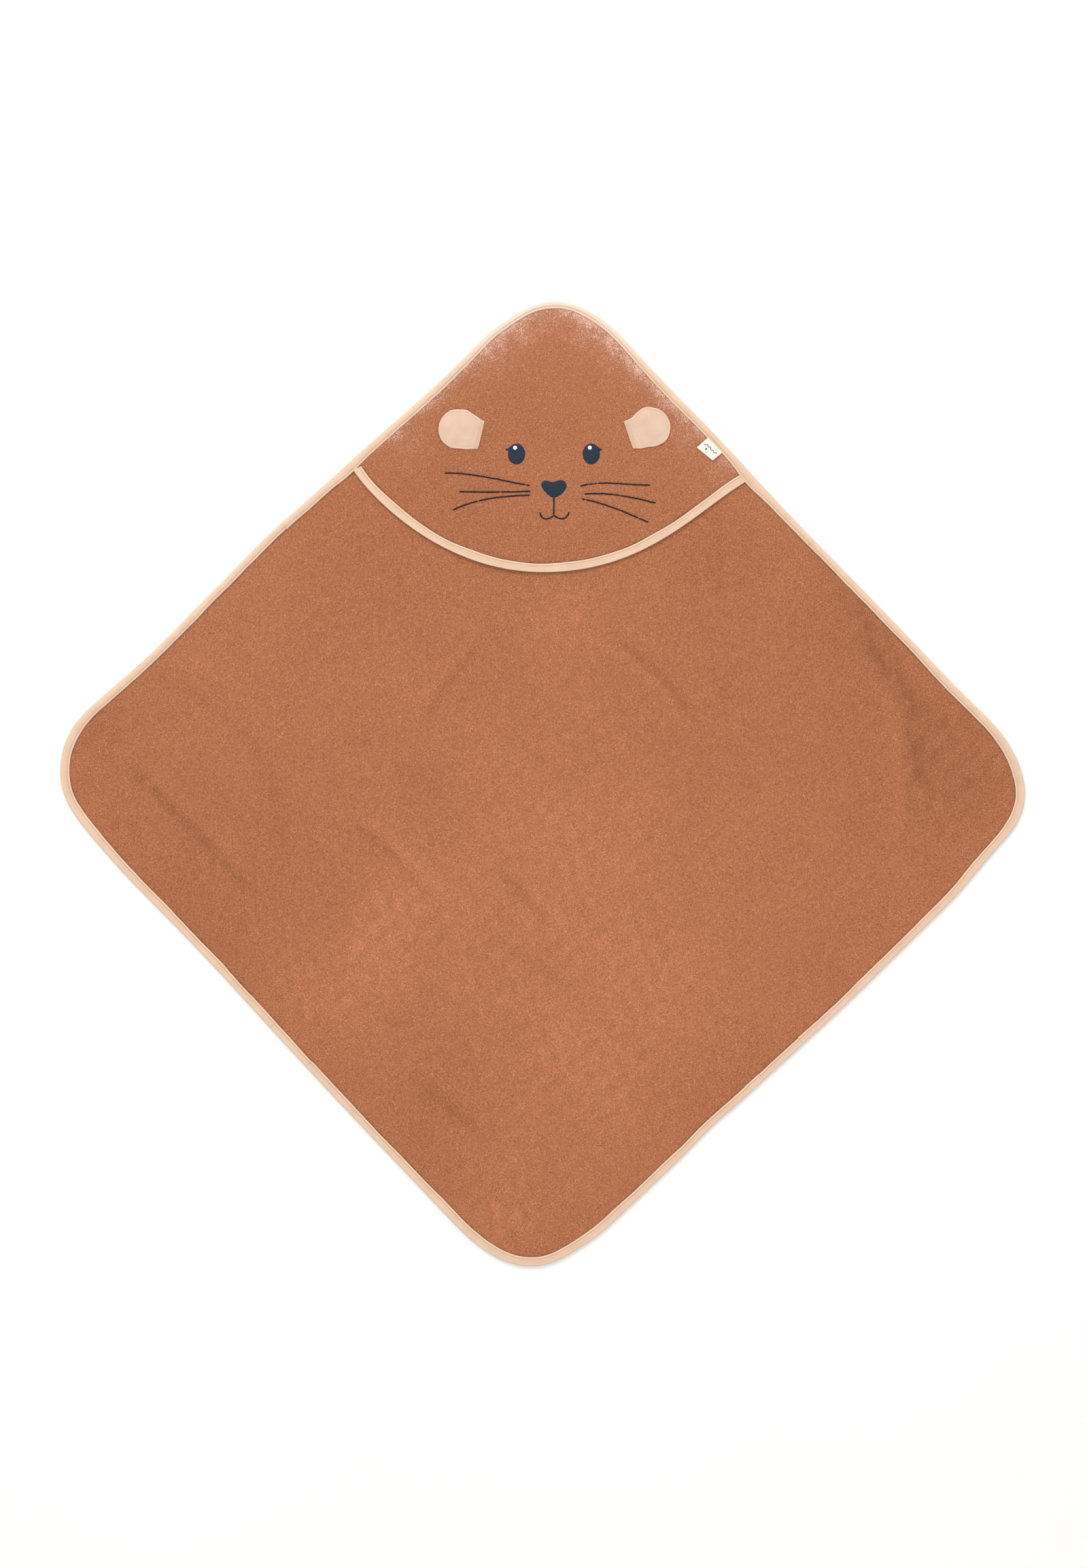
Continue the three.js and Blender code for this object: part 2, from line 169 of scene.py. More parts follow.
def slab(name, outer, inner, look, slot, weave=None, soft_rim=False):
    """One closed skin as a piece. Its rim is shaded flat, to keep the face even up to it, unless soft."""
    points, faces, body = shell(outer, inner)
    flat = () if soft_rim else range(body, len(faces))
    if weave is not None:
        weave = np.concatenate([weave.reshape(-1, 3)] * 2)
    return add_mesh(name, points, [faces], look, flat, weave)


def hemmed(samples, gap):
    """The samples with one more just inside each end, which keeps the shading even up to the rim."""
    return np.sort(np.r_[samples, samples[0] + gap, samples[-1] - gap])


def with_height(plane, height):
    """Complex numbers x + iy and a height as points (..., 3)."""
    return np.stack([plane.real, plane.imag, height + 0 * plane.real], -1)


# %% [markdown]
# ## The outline of the towel
#
# Four straight sides and four rounded corners. A point in the plane is one complex number, which makes a
# quarter turn a multiplication by `i`, so the outline is one corner written four times. The corner is a
# Bezier curve that leaves each side in that side's own direction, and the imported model's box gives how far
# out it reaches.

# %% The edge as a path
CORNER_REACH = 120 * MM  # along each side, where the rounding starts
CORNER_CUT = 39 * MM  # from the sharp corner to the rounded one
CORNER_FELT = 200 * MM  # deeper inside than this, the rounding makes no difference
SLANT = 0.5**0.5
sharp = cad_box[1].y + CORNER_CUT


def ease(t):
    """0 before 0, 1 after 1, and a smooth climb 3t^2 - 2t^3 between them."""
    t = np.clip(t, 0, 1)
    return t * t * (3 - 2 * t)


def bezier(points, t):
    """A cubic curve: each control point weighted by its share at t, the terms of ((1 - t) + t)^3."""
    a, b, c, d = points
    return (1 - t) ** 3 * a + 3 * t * (1 - t) ** 2 * b + 3 * t**2 * (1 - t) * c + t**3 * d


def on_side(side, back):
    """The point `back` along a side from the sharp hood corner, on the right (1) or the left (-1)."""
    return complex(side * back * SLANT, sharp - back * SLANT)


handle = (CORNER_REACH / 2 - CORNER_CUT * SLANT) * 8 / 3
pulls = [on_side(1, CORNER_REACH), on_side(1, CORNER_REACH - handle)]
pulls += [on_side(-1, CORNER_REACH - handle), on_side(-1, CORNER_REACH)]
hood_corner = bezier(pulls, np.linspace(0, 1, 97))
ring = np.concatenate([hood_corner * 1j**turn for turn in range(4)] + [hood_corner[:1]])
ring_length = np.r_[0, np.cumsum(abs(np.diff(ring)))]
EDGE_LENGTH = ring_length[-1]


def edge_at(s):
    """The outline's point at length s, anticlockwise from the right of the tip, and the way inward."""

    def at(where):
        return np.interp(where, ring_length, ring.real, period=EDGE_LENGTH) + 1j * np.interp(
            where, ring_length, ring.imag, period=EDGE_LENGTH
        )

    ahead = at(s + MM) - at(s - MM)
    return at(s), 1j * ahead / abs(ahead)


def distance_to(plane, line):
    """The shortest distance from each point to a line drawn by many close points."""
    flat = plane.ravel()
    blocks = [abs(block[:, None] - line).min(1) for block in np.array_split(flat, len(flat) // 20000 + 1)]
    return np.concatenate(blocks).reshape(plane.shape)


def from_edge(plane):
    """How far inside the outline each point lies: the distance to a side, or to a corner's curve."""
    quarter = np.round((np.angle(plane) - np.pi / 2) / (np.pi / 2))
    turned = plane * (-1j) ** quarter
    across, up = abs(turned.real), turned.imag
    side = (sharp - across - up) * SLANT
    along = (across + sharp - up) * SLANT
    near = (along < CORNER_REACH) & (side < CORNER_FELT)
    if near.any():
        side[near] = distance_to(turned[near], hood_corner)
    return side


def half_width(y, inset):
    """Half the width of the towel at height y, measured to a line `inset` inside the outline."""
    point, inward = edge_at(np.linspace(0, EDGE_LENGTH, 3001))  # about one a millimetre
    line = point + inward * inset
    right = line[line.real >= 0]
    right = right[np.argsort(right.imag)]
    return np.interp(y, right.imag, right.real)


HOOD_END = HOOD_FOLD - 2.5 * MM  # how low the hood reaches along the sides
hem_joint = complex(sharp - HOOD_END, HOOD_END)


def hem_swell(point):
    """1 where the hem's right end lies inside, 0.6 at its left end, and exp(-(distance / 24 mm)^2) away."""
    away = abs(abs(point.real) + 1j * point.imag - hem_joint)
    return np.exp(-((away / (24 * MM)) ** 2)) * np.where(point.real > 0, 1.0, 0.6)


SHOWS_SIDE = 8.5  # how wide the binding is on the face, in millimetres: along the sides
SHOWS_CORNER = 10.0  # at the left, right and foot corners
SHOWS_TIP = 7.0  # at the hood's tip
SHOWS_MORE = 2.8  # and this much wider over the ends of the hem


def edge_width(point):
    """How wide the binding shows: as on the sides, eased to its width at the corners and the tip."""
    corner = np.clip((abs(point) - 430 * MM) / (90 * MM), 0, 1)
    tip_part = ease((point.imag - 420 * MM) / (90 * MM))
    width = SHOWS_SIDE + (SHOWS_CORNER - SHOWS_SIDE) * corner * (1 - tip_part)
    return (width - (SHOWS_SIDE - SHOWS_TIP) * tip_part + SHOWS_MORE * hem_swell(point)) * MM


print(f"outline: {EDGE_LENGTH:.3f} m round, {2 * ring.imag.max():.3f} m from tip to tip")

# %% [markdown]
# ## How the cloth lies
# Nobody lays a towel out as an exact square. Its edge draws in a few millimetres here and bulges there,
# and its face keeps faint creases from having been folded. A simulation would give other, random ones, so
# they are written down: each *push* moves the cloth round a place outward or inward, fading with distance,
# and each *crease* is a low ridge along a short curve, with painted shade along the dark ones and painted
# light along the pale ones. Broad patches of painted light and shade, where the pile leans, are listed too.

# %% Pushes and creases
PUSHES = [  # x, y, amount outward, how far it reaches, all in millimetres
    (-120, 440, -4.6, 95),
    (-46, 514, -1.6, 30),
    (-302, 263, 2.8, 60),
    (-430, 135, -2.8, 60),
    (-512, 46, 2.6, 34),
    (-497, -70, -2.8, 42),
    (-370, -195, -3.1, 130),
    (50, -510, -1.9, 32),
    (195, -370, -1.7, 32),
    (335, -230, 2.4, 100),
    (498, -68, -6.2, 44),
    (494, 66, 2.3, 50),
    (260, 305, -2.3, 110),
    (115, 450, -2.2, 70),
]
CREASES = [  # three points, height and half width in millimetres, and how much lighter in percent: painted light above 0, painted shade below 0
    ((60, 168), (123, 124), (172, 60), -0.8, 5, -14),
    ((50, 160), (112, 118), (160, 58), 0.6, 6, 5),
    ((-134, 53), (-105, 107), (-62, 156), -0.7, 5, -11),
    ((-146, 58), (-114, 114), (-70, 164), 0.6, 7, 4),
    ((-207, -30), (-150, -79), (-93, -138), 0.9, 8, 8),
    ((-214, -38), (-158, -88), (-104, -142), -0.7, 5, -9),
    ((-55, -87), (-21, -120), (19, -155), -0.8, 5, -15),
    ((-36, -176), (-2, -197), (43, -230), -0.5, 6, -8),
    ((-460, 19), (-402, -41), (-305, -138), -0.8, 6, -13),
    ((-452, 30), (-394, -31), (-300, -124), 0.6, 9, 4),
    ((304, 229), (379, 136), (416, -8), -0.8, 14, -10),
    ((333, 179), (402, 103), (465, 60), -0.6, 8, -9),
    ((368, 124), (387, 47), (384, -65), 0.9, 8, 9),
    ((-133, -318), (-87, -361), (-42, -388), -0.9, 7, -12),
    ((-445, 114), (-321, 40), (-284, -93), 0.5, 8, -5),
    ((-240, -228), (-200, -262), (-180, -300), 0.7, 14, 4),
]
LEANS = [  # x, y, reach in millimetres, and how much lighter the pile is painted where it leans, in percent: painted light above 0, painted shade below 0
    (16, 171, 45, 7.5),
    (20, -20, 190, 7),
    (-155, -135, 42, 9.5),
    (-181, -191, 38, 10),
    (-252, -237, 45, 11.5),
    (90, -307, 70, 5),
    (155, -227, 60, 5),
    (-40, -477, 40, 7),
    (-130, 0, 34, -7),
    (448, 30, 90, -10),
    (344, 191, 50, -5),
    (-477, 47, 60, -7),
    (-372, -118, 90, -3.5),
    (-110, -350, 60, -4),
    (190, 250, 60, -5),
    (-230, 200, 110, -4),
    (20, -250, 190, 4),
    (0, -430, 150, 5),
]


def laid(points):
    """Points moved in the plane along the diagonal, by the sum of amount x exp(-(distance / reach)^2)."""
    moved = points.copy()
    plane = points[..., 0] + 1j * points[..., 1]
    for x, y, amount, reach in PUSHES:
        fade = np.exp(-((abs(plane - complex(x, y) * MM) / (reach * MM)) ** 2))
        moved[..., 0] += np.sign(x) * SLANT * amount * MM * fade
        moved[..., 1] += np.sign(y) * SLANT * amount * MM * fade
    return moved


def waves(plane, length, height, seed, count=9):
    """Gentle unevenness: `count` plane waves of about this length, with random directions, added up."""
    draw = np.random.default_rng(seed)
    total = 0
    for _ in range(count):
        wave = 2 * np.pi / (length * draw.uniform(0.7, 1.5)) * np.exp(1j * draw.uniform(0, 2 * np.pi))
        total = total + np.cos((plane * np.conj(wave)).real + draw.uniform(0, 2 * np.pi))
    return height * total / count**0.5


CREASE_FELT = 190 * MM  # no crease reaches further than this from its middle
LAID_HIGH = 0.9 * MM  # the open cloth lies this high over the table on average


def lie(plane):
    """The height of the open cloth, broad waves plus creases, and the painted light and shade on its pile.

    A crease has the profile exp(-(distance / width)^2) and fades over 35 mm towards its two ends. Within
    50 mm of the edge the height eases to nothing.
    """
    height = LAID_HIGH + waves(plane, 150 * MM, 0.3 * MM, 1) + waves(plane, 55 * MM, 0.12 * MM, 2)
    painted_light = 0 * height
    t = np.linspace(0, 1, 61)
    for *points, rise, width, tone in CREASES:
        a, b, c = (complex(*p) * MM for p in points)
        line = (1 - t) ** 2 * a + 2 * t * (1 - t) * (2 * b - (a + c) / 2) + t**2 * c
        near = abs(plane - b) < CREASE_FELT
        away = distance_to(plane[near], line)
        tip = np.minimum(abs(plane[near] - a), abs(plane[near] - c))
        fade = np.exp(-((away / (width * MM)) ** 2)) * ease(tip / (35 * MM))
        height[near] += rise * MM * fade
        # painted shade along a dark crease, painted light along a pale one
        painted_light[near] += tone / 100 * fade
    # painted light and shade in broad patches where the pile leans
    for x, y, reach, tone in LEANS:
        painted_light += tone / 100 * np.exp(-((abs(plane - complex(x, y) * MM) / (reach * MM)) ** 2))
    uneven = 1 + waves(plane, 18 * MM, 0.45, 5)
    return height * ease((from_edge(plane) - 9 * MM) / (50 * MM)), painted_light * uneven


print(len(PUSHES), "pushes,", len(CREASES), "creases and", len(LEANS), "leaning patches")

# %% [markdown]
# ## Looks: terry
#
# Terry is thousands of short cotton loops. At arm's length the eye sees a fine, worm-like grain with dark
# gaps and light loop tips, over slow cloudy changes where the pile leans. Real loops would be hundreds of
# thousands of meshes. Noise of several sizes does it: a twisted fine one for the loops, then tufts, clouds
# and the lean of the pile, and the two finest also drive the bump. On top come painted light and shade on
# the creases and leaning patches, and a painted sheen near the hood's edge. The sheen is one more twisted
# noise made into pale flecks and gathered in patches. Beside each binding's lip there is a painted contact
# shadow. The noises read Object coordinates, so neighbouring pieces of the same cloth match where they meet.


# %% A small node helper, and the terry
def material(name, roughness, sheen=0.0, tint=(1, 1, 1, 1), specular=0.3):
    """A material with its Principled shader, and a helper that adds a node and sets its inputs."""
    look = bpy.data.materials.new(name)
    look.use_nodes = True
    tree = look.node_tree
    shader = tree.nodes["Principled BSDF"]
    shader.inputs["Roughness"].default_value = roughness
    shader.inputs["Sheen Weight"].default_value = sheen
    shader.inputs["Sheen Roughness"].default_value = 0.5
    shader.inputs["Sheen Tint"].default_value = tint
    shader.inputs["Specular IOR Level"].default_value = specular

    def node(kind, settings=None, **inputs):
        made = tree.nodes.new(kind)
        for key, value in (settings or {}).items():
            setattr(made, key, value)
        for key, value in inputs.items():
            socket = made.inputs[int(key[1:])] if key[1:].isdigit() else made.inputs[key.replace("_", " ")]
            if isinstance(value, bpy.types.NodeSocket):
                tree.links.new(value, socket)
            else:
                socket.default_value = value
        return made

    return look, shader, node


def srgb(r, g, b):
    """A colour of 0 to 255 screen steps as the linear values that shaders use."""
    steps = np.array([r, g, b]) / 255
    linear = np.where(steps <= 0.04045, steps / 12.92, ((steps + 0.055) / 1.055) ** 2.4)
    return (*linear, 1.0)


def ramp(node, value, *stops):
    """A colour ramp fed by value: each stop is (place, colour)."""
    made = node("ShaderNodeValToRGB", i0=value)
    bar = made.color_ramp
    while len(bar.elements) < len(stops):
        bar.elements.new(0.5)
    for element, (place, colour) in zip(bar.elements, stops):
        element.position = place
        element.color = colour
    return made.outputs["Color"]


def mix(node, kind, factor, a, b):
    """Two colours mixed the given way, as strongly as the factor says."""
    made = node("ShaderNodeMix", {"data_type": "RGBA", "blend_type": kind}, i0=factor, i6=a, i7=b)
    return made.outputs[2]


def reckon(node, operation, *values):
    """The result of one arithmetic node."""
    inputs = {f"i{place}": value for place, value in enumerate(values)}
    return node("ShaderNodeMath", {"operation": operation}, **inputs).outputs[0]


def noise(node, where, scale, **settings):
    """The values of a noise pattern whose lumps are about 1 / scale metres wide."""
    return node("ShaderNodeTexNoise", Vector=where, Scale=scale, **settings).outputs[0]


def shaded(node, value, low, high):
    """A tone to multiply by: `low` where the value is 0.3 or less, `high` where it is 0.7 or more."""
    return ramp(node, value, (0.3, (*low, 1)), (0.7, (*high, 1)))


def marks(node):
    """The attribute with the weave and the painted sheen, light and shade, whole and as its three numbers.
    """
    vector = node("ShaderNodeAttribute", {"attribute_name": "weave"}).outputs["Vector"]
    return vector, node("ShaderNodeSeparateXYZ", i0=vector).outputs


def finish(node, shader, colour, height, strength, depth):
    """The colour and a bump of this strength and depth go into the shader."""
    bump = node("ShaderNodeBump", Strength=strength, Distance=depth, Height=height)
    shader.id_data.links.new(colour, shader.inputs["Base Color"])
    shader.id_data.links.new(bump.outputs[0], shader.inputs["Normal"])


PILE_TONES = (  # noise scale, detail and roughness, and the deepest and lightest tone that it gives
    (150.0, 3.0, 0.6, (0.97, 0.965, 0.96), (1.02, 1.02, 1.02)),  # tufts
    (14.0, 4.0, 0.6, (0.965, 0.96, 0.955), (1.035, 1.04, 1.045)),  # clouds
    (2.6, 1.0, 0.5, (0.96, 0.955, 0.95), (1.04, 1.045, 1.05)),  # the slow change where the pile leans
)
SHEEN_SHARE = 0.22  # how strongly the density of the painted sheen tells
CONTACT_SHADOW = 1.7 * MM  # how far from a binding's lip the pile is pressed and darkened by a painted contact shadow


def painted_sheen_flecks(node, where, sheen_density, colour):
    """Painted sheen: the colour with an even tint, and pale flecks where two noises and the density add up
    to 0.9.
    """
    tint = reckon(node, "MULTIPLY", sheen_density, SHEEN_SHARE)
    # the even tint of the painted sheen
    colour = mix(node, "MIX", tint, colour, srgb(192, 138, 114))
    sheen_streaks = noise(node, where, 700.0, Detail=2.0, Roughness=0.7, Distortion=1.8)
    patches = noise(node, where, 38.0, Detail=3.0, Roughness=0.65)
    patchy = reckon(node, "MULTIPLY_ADD", patches, 0.35, sheen_streaks)
    caught = reckon(node, "MULTIPLY_ADD", sheen_density, SHEEN_SHARE, patchy)
    share = ramp(node, caught, (0.87, (0, 0, 0, 1)), (0.95, (0.9, 0.9, 0.9, 1)))
    # the pale flecks of painted sheen
    return mix(node, "MIX", share, colour, srgb(234, 196, 180))


def terry_look(name):
    """Terry: grain x tufts x clouds x leaning x painted light and shade, then painted sheen, then a painted
    contact shadow beside a binding.

    The attribute holds how dense the painted sheen is, the painted light and shade of the creases and the
    leaning pile, and the way to a binding.
    """
    look, shader, node = material(name, 0.95, 0.1, srgb(255, 214, 190), 0.1)
    where = node("ShaderNodeTexCoord").outputs["Object"]
    _, (sheen_density, lean_light_and_shade, to_lip) = marks(node)
    loops = noise(node, where, 740.0, Detail=2.0, Roughness=0.55, Distortion=1.0)
    colour = ramp(
        node,
        loops,
        (0.30, srgb(140, 83, 56)),
        (0.45, srgb(166, 103, 71)),
        (0.56, srgb(178, 113, 78)),
        (0.75, srgb(206, 146, 112)),
    )
    layers = []
    for scale, detail, roughness, low, high in PILE_TONES:
        layers.append(noise(node, where, scale, Detail=detail, Roughness=roughness))
        colour = mix(node, "MULTIPLY", 1.0, colour, shaded(node, layers[-1], low, high))
    # painted light and shade of the creases and the leaning pile
    colour = mix(node, "MULTIPLY", 1.0, colour, reckon(node, "ADD", lean_light_and_shade, 1.0))
    # painted sheen: an even tint and pale flecks near the hood's edge
    colour = painted_sheen_flecks(node, where, sheen_density, colour)
    # painted contact shadow: the pile darkens towards a binding's lip
    contact_shadow = reckon(node, "MULTIPLY", to_lip, 1 / CONTACT_SHADOW)
    stops = (0.0, (0.62, 0.58, 0.55, 1)), (0.5, (0.84, 0.82, 0.80, 1)), (1.0, (1, 1, 1, 1))
    colour = mix(node, "MULTIPLY", 1.0, colour, ramp(node, contact_shadow, *stops))
    finish(node, shader, colour, reckon(node, "ADD", loops, layers[0]), 0.45, 0.6 * MM)
    return look


terry = terry_look("terry_loops")
print("terry look ready")

# %% [markdown]
# ## The towel
#
# The towel is one cut cloth. It is made here as four meshes that meet at the fold lines, because each
# corner has to bend about its own hinge. Each is a grid of rows whose ends lie on the outline, so the mesh
# follows the rounded corners exactly, and its edge runs a little way inside the binding.

# %% Four sheets of terry
CLOTH_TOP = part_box("towel_centre_panel")[1].z
IN_BINDING = 1.6 * MM  # from the outline to the cloth's own edge
CELL = 3.2 * MM
SPARSE = -0.4  # the painted sheen's density on the open towel, where hardly a fleck shows


def pile(plane, from_split, seed):
    """The uneven tops of the loops: short waves, plus seeded noise that fades out where two sheets meet."""
    speckle = np.random.default_rng(seed).normal(0, 0.05 * MM, plane.shape)
    return waves(plane, 9 * MM, 0.09 * MM, 3) + speckle * ease(from_split / (9 * MM))


def cloth_heights(plane):
    """Upper and lower height of the cloth, thinner under the binding, and the painted light and shade on its
    pile.
    """
    pressed = 1 - ease((from_edge(plane) - 6 * MM) / (7 * MM))
    from_split = np.minimum(abs(abs(plane.real) - side_split), abs(plane.imag + foot_split))
    loops = pile(plane, from_split, 4)
    over, painted_light = lie(plane)
    top = CLOTH_TOP - 0.5 * MM * pressed + (loops - 0.1 * MM) * (1 - pressed) + over
    return top, over + 0.15 * MM + 0.7 * MM * pressed, painted_light


def towel_sheet(name, node, turn, start, end, limit):
    """Rows across the towel from start to end along `turn`, each as far as the outline or the limit."""
    rows = int((end - start) / CELL)
    along = hemmed(np.linspace(start, end, rows), 0.05 * MM)
    half = np.minimum(half_width(along, IN_BINDING), limit)
    across = hemmed(np.linspace(-1, 1, max(int(2 * half.max() / CELL), 2)), 0.0002)
    plane = (across[:, None] * half + 1j * along) * turn
    top, bottom, painted_light = cloth_heights(plane)
    # painted sheen density, painted light and shade, and the way to the binding's lip for the painted
    # contact shadow
    weave = np.stack([0 * top + SPARSE, painted_light, from_edge(plane) - edge_width(plane)], -1)
    upper, lower = laid(with_height(plane, top)), laid(with_height(plane, bottom))
    piece = slab(name, upper, lower, terry, "terry", weave)
    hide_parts(node)
    return piece


tip = ring.imag.max() - IN_BINDING - 0.3 * MM
side_split = SIDE_FOLD - CORNER_BEND["lead"]
foot_split = FOOT_FOLD - CORNER_BEND["lead"]
side_flat = (2 * float(half_width(side_split, 0)), tip - side_split)
foot_flat = (2 * float(half_width(foot_split, 0)), tip - foot_split)
centre_terry = towel_sheet(
    "terry_centre", "towel_centre_panel", 1, -foot_split, tip, side_split
)
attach(centre_terry, "towel")
for name, turn, split, flat in (
    ("left", 1j, side_split, side_flat),
    ("right", -1j, side_split, side_flat),
    ("foot", -1, foot_split, foot_flat),
):
    sheet = towel_sheet(f"terry_{name}_corner", f"towel_{name}_panel", turn, split, tip, 1.0)
    bend_over(sheet, f"{name}_corner_fold", **CORNER_BEND)

# %% [markdown]
# ## Stage, light and camera
#
# The towel is seen from straight above, turned a little. A pale floor and a bright, even sky give the soft
# studio look, and one large panel from beyond the hood gives the pile, the binding and the hood's hem
# their shading. These come early so that every later piece can be judged in its final light.

# %% Floor, lights and camera
PICTURE = (1596, 2306)
CAMERA_HEIGHT = 3.2
SEEN_HEIGHT = 1.7129  # how much of the floor the picture shows, top to bottom
SENSOR = 36.0
TURNED = np.radians(1.5)

floor_look, floor_shader, floor_node = material("pale_floor", 0.9, specular=0.1)
floor_spots = floor_node("ShaderNodeTexCoord").outputs["Object"]
floor_grain = noise(floor_node, floor_spots, 3.0)
floor_tone = ramp(floor_node, floor_grain, (0.0, (0.93, 0.93, 0.93, 1)), (1.0, (0.95, 0.95, 0.95, 1)))
floor_look.node_tree.links.new(floor_tone, floor_shader.inputs["Base Color"])
FLOOR = np.array([[-4, -4, 0], [4, -4, 0], [4, 4, 0], [-4, 4, 0]]) + [0, 0, -0.3 * MM]
floor_mesh = bpy.data.meshes.new("floor")
floor_mesh.from_pydata(FLOOR.tolist(), [], [(0, 1, 2, 3)])
floor_mesh.materials.append(floor_look)
floor = bpy.data.objects.new("floor", floor_mesh)
bpy.context.scene.collection.objects.link(floor)

sky = bpy.data.worlds.new("soft_sky")
sky.use_nodes = True
sky.node_tree.nodes["Background"].inputs["Color"].default_value = (1.0, 0.995, 0.985, 1)
sky.node_tree.nodes["Background"].inputs["Strength"].default_value = 0.92
bpy.context.scene.world = sky


def light_panel(name, place, size, power):
    """A square area light at a place, facing the middle of the towel."""
    lamp = bpy.data.lights.new(name, "AREA")
    lamp.shape, lamp.size, lamp.energy = "SQUARE", size, power
    holder = bpy.data.objects.new(name, lamp)
    bpy.context.scene.collection.objects.link(holder)
    holder.location = place
    away = np.array(place) / np.linalg.norm(place)
    tilt, heading = np.arccos(away[2]), np.arctan2(away[1], away[0]) + np.pi / 2
    holder.rotation_euler = (tilt, 0, heading)


light_panel("key_panel", (-0.8, 3.0, 3.0), 1.5, 62.0)
camera_data = bpy.data.cameras.new("camera")
camera_data.sensor_width = SENSOR
camera_data.lens = SENSOR * CAMERA_HEIGHT / SEEN_HEIGHT
camera = bpy.data.objects.new("camera", camera_data)
camera.location = (0, 0, CAMERA_HEIGHT)
camera.rotation_euler = (0, 0, TURNED)
bpy.context.scene.collection.objects.link(camera)
bpy.context.scene.camera = camera
bpy.context.scene.view_settings.view_transform = "Standard"
print(f"camera: {camera_data.lens:.1f} mm lens, {CAMERA_HEIGHT} m up, picture {PICTURE}")

# %% [markdown]
# ## Looks: jersey, thread and tape
#
# The binding and the ears are fine cotton jersey in a pale peach. Its knit shows as tiny upright ribs, so
# a wave follows the cloth's own direction: the attribute holds the length along the piece, the place across
# it and a tone of painted light and shade: a painted highlight above 0, where the cloth catches the light,
# and painted shade below 0, in its grooves. Thread is smoother and shinier, and its strands are real
# ridges in the mesh, so the material only adds a fine twist.


# %% Jersey, thread and tape
def jersey_look(name, base, painted_shade, painted_highlight, own_direction):
    """Fine jersey with knit ribs. The attribute's third number mixes in a painted highlight above 0 and
    painted shade below 0.
    """
    look, shader, node = material(name, 0.88, 0.25, srgb(255, 232, 214), 0.2)
    place = node("ShaderNodeTexCoord").outputs["Object"]
    vector, (_, _, tone) = marks(node)
    way = vector if own_direction else place
    along, across = {"bands_direction": "Y"}, {"bands_direction": "X"}
    ribs = node("ShaderNodeTexWave", along, Vector=way, Scale=330.0, Distortion=1.5, Detail=1.0)
    rows = node("ShaderNodeTexWave", across, Vector=way, Scale=240.0, Distortion=2.0, Detail=1.0)
    knit = reckon(node, "ADD", ribs.outputs["Fac"], rows.outputs["Fac"])
    fluff = noise(node, place, 600.0, Detail=3.0)
    clouds = noise(node, place, 70.0, Detail=3.0)
    colour = ramp(node, knit, (0.1, (0.95, 0.94, 0.93, 1)), (0.75, (1, 1, 1, 1)))
    colour = mix(node, "MULTIPLY", 1.0, colour, base)
    clouded = shaded(node, clouds, (0.94, 0.93, 0.915), (1.04, 1.04, 1.045))
    colour = mix(node, "MULTIPLY", 1.0, colour, clouded)
    # painted highlight where the tone is above 0, then painted shade where it is below 0
    colour = mix(node, "MIX", tone, colour, painted_highlight)
    colour = mix(node, "MIX", reckon(node, "MULTIPLY", tone, -1.0), colour, painted_shade)
    finish(node, shader, colour, reckon(node, "ADD", knit, fluff), 0.25, 0.16 * MM)
    return look


def thread_look(name, dark, light, roughness, sheen=0.1):
    """Embroidery or sewing thread: a fine twist between two tones of one colour."""
    look, shader, node = material(name, roughness, sheen, srgb(200, 210, 230), 0.35)
    place = node("ShaderNodeTexCoord").outputs["Object"]
    twist = noise(node, place, 900.0, Detail=2.0, Distortion=1.0)
    finish(node, shader, ramp(node, twist, (0.35, dark), (0.65, light)), twist, 0.3, 0.15 * MM)
    return look


# the binding's base colour, painted shade and painted highlight
binding_tones = srgb(227, 193, 164), srgb(198, 156, 124), srgb(237, 218, 204)
binding_jersey = jersey_look("binding_jersey", *binding_tones, True)
# the ear's base colour, painted shade and painted highlight
ear_jersey = jersey_look("ear_jersey", srgb(221, 189, 167), srgb(206, 166, 136), srgb(240, 214, 194), False)
satin_thread = thread_look("navy_satin_thread", srgb(14, 27, 45), srgb(26, 43, 63), 0.6, 0.03)
line_thread = thread_look("dark_brown_thread", srgb(24, 12, 20), srgb(44, 26, 34), 0.7, 0.03)
white_thread = thread_look("white_thread", srgb(214, 220, 226), srgb(250, 250, 250), 0.4)
sewing_thread = thread_look("peach_sewing_thread", srgb(196, 152, 116), srgb(222, 180, 142), 0.7)
tape_look = thread_look("cream_tape", srgb(226, 224, 208), srgb(240, 239, 226), 0.75)
tape_ink = thread_look("grey_woven_thread", srgb(70, 66, 60), srgb(104, 100, 94), 0.8)
print("jersey, thread and tape looks ready")

# %% [markdown]
# ## The edge binding
#
# A strip of jersey is folded round the edge and sewn down with one row of stitches. Along the towel it is
# a swept profile: under the cloth, round the outer edge, over the face, and down at the inner lip. What
# makes it look sewn is in the face: a groove where the stitches pull it in, with painted shade in it, a
# little ridge inside the groove with a painted highlight, a soft pillow outside it, and short slanting
# puckers. A painted highlight where it rolls round the edge and painted shade on its outermost line go
# with them. A Curve with a bevel profile could sweep a plain shape, but not one that changes along its
# length, so the profile is computed.

# %% Profile of a folded strip
GROOVE = 2.3 * MM  # from the inner lip to the row of stitches
GROOVE_WIDE = 0.42 * MM
SKIN = 0.45 * MM  # how thick the jersey is
STITCH_PITCH = 3.3 * MM
STITCH_SIZE = (2.5 * MM, 0.5 * MM, 0.42 * MM)  # length, width and thickness
STITCH_DOWN = 0.75 * MM  # how far below the strip's full height a stitch lies
LIP_STEPS = 15
ROUND_STEPS = 9
UNDER_STEPS = 10


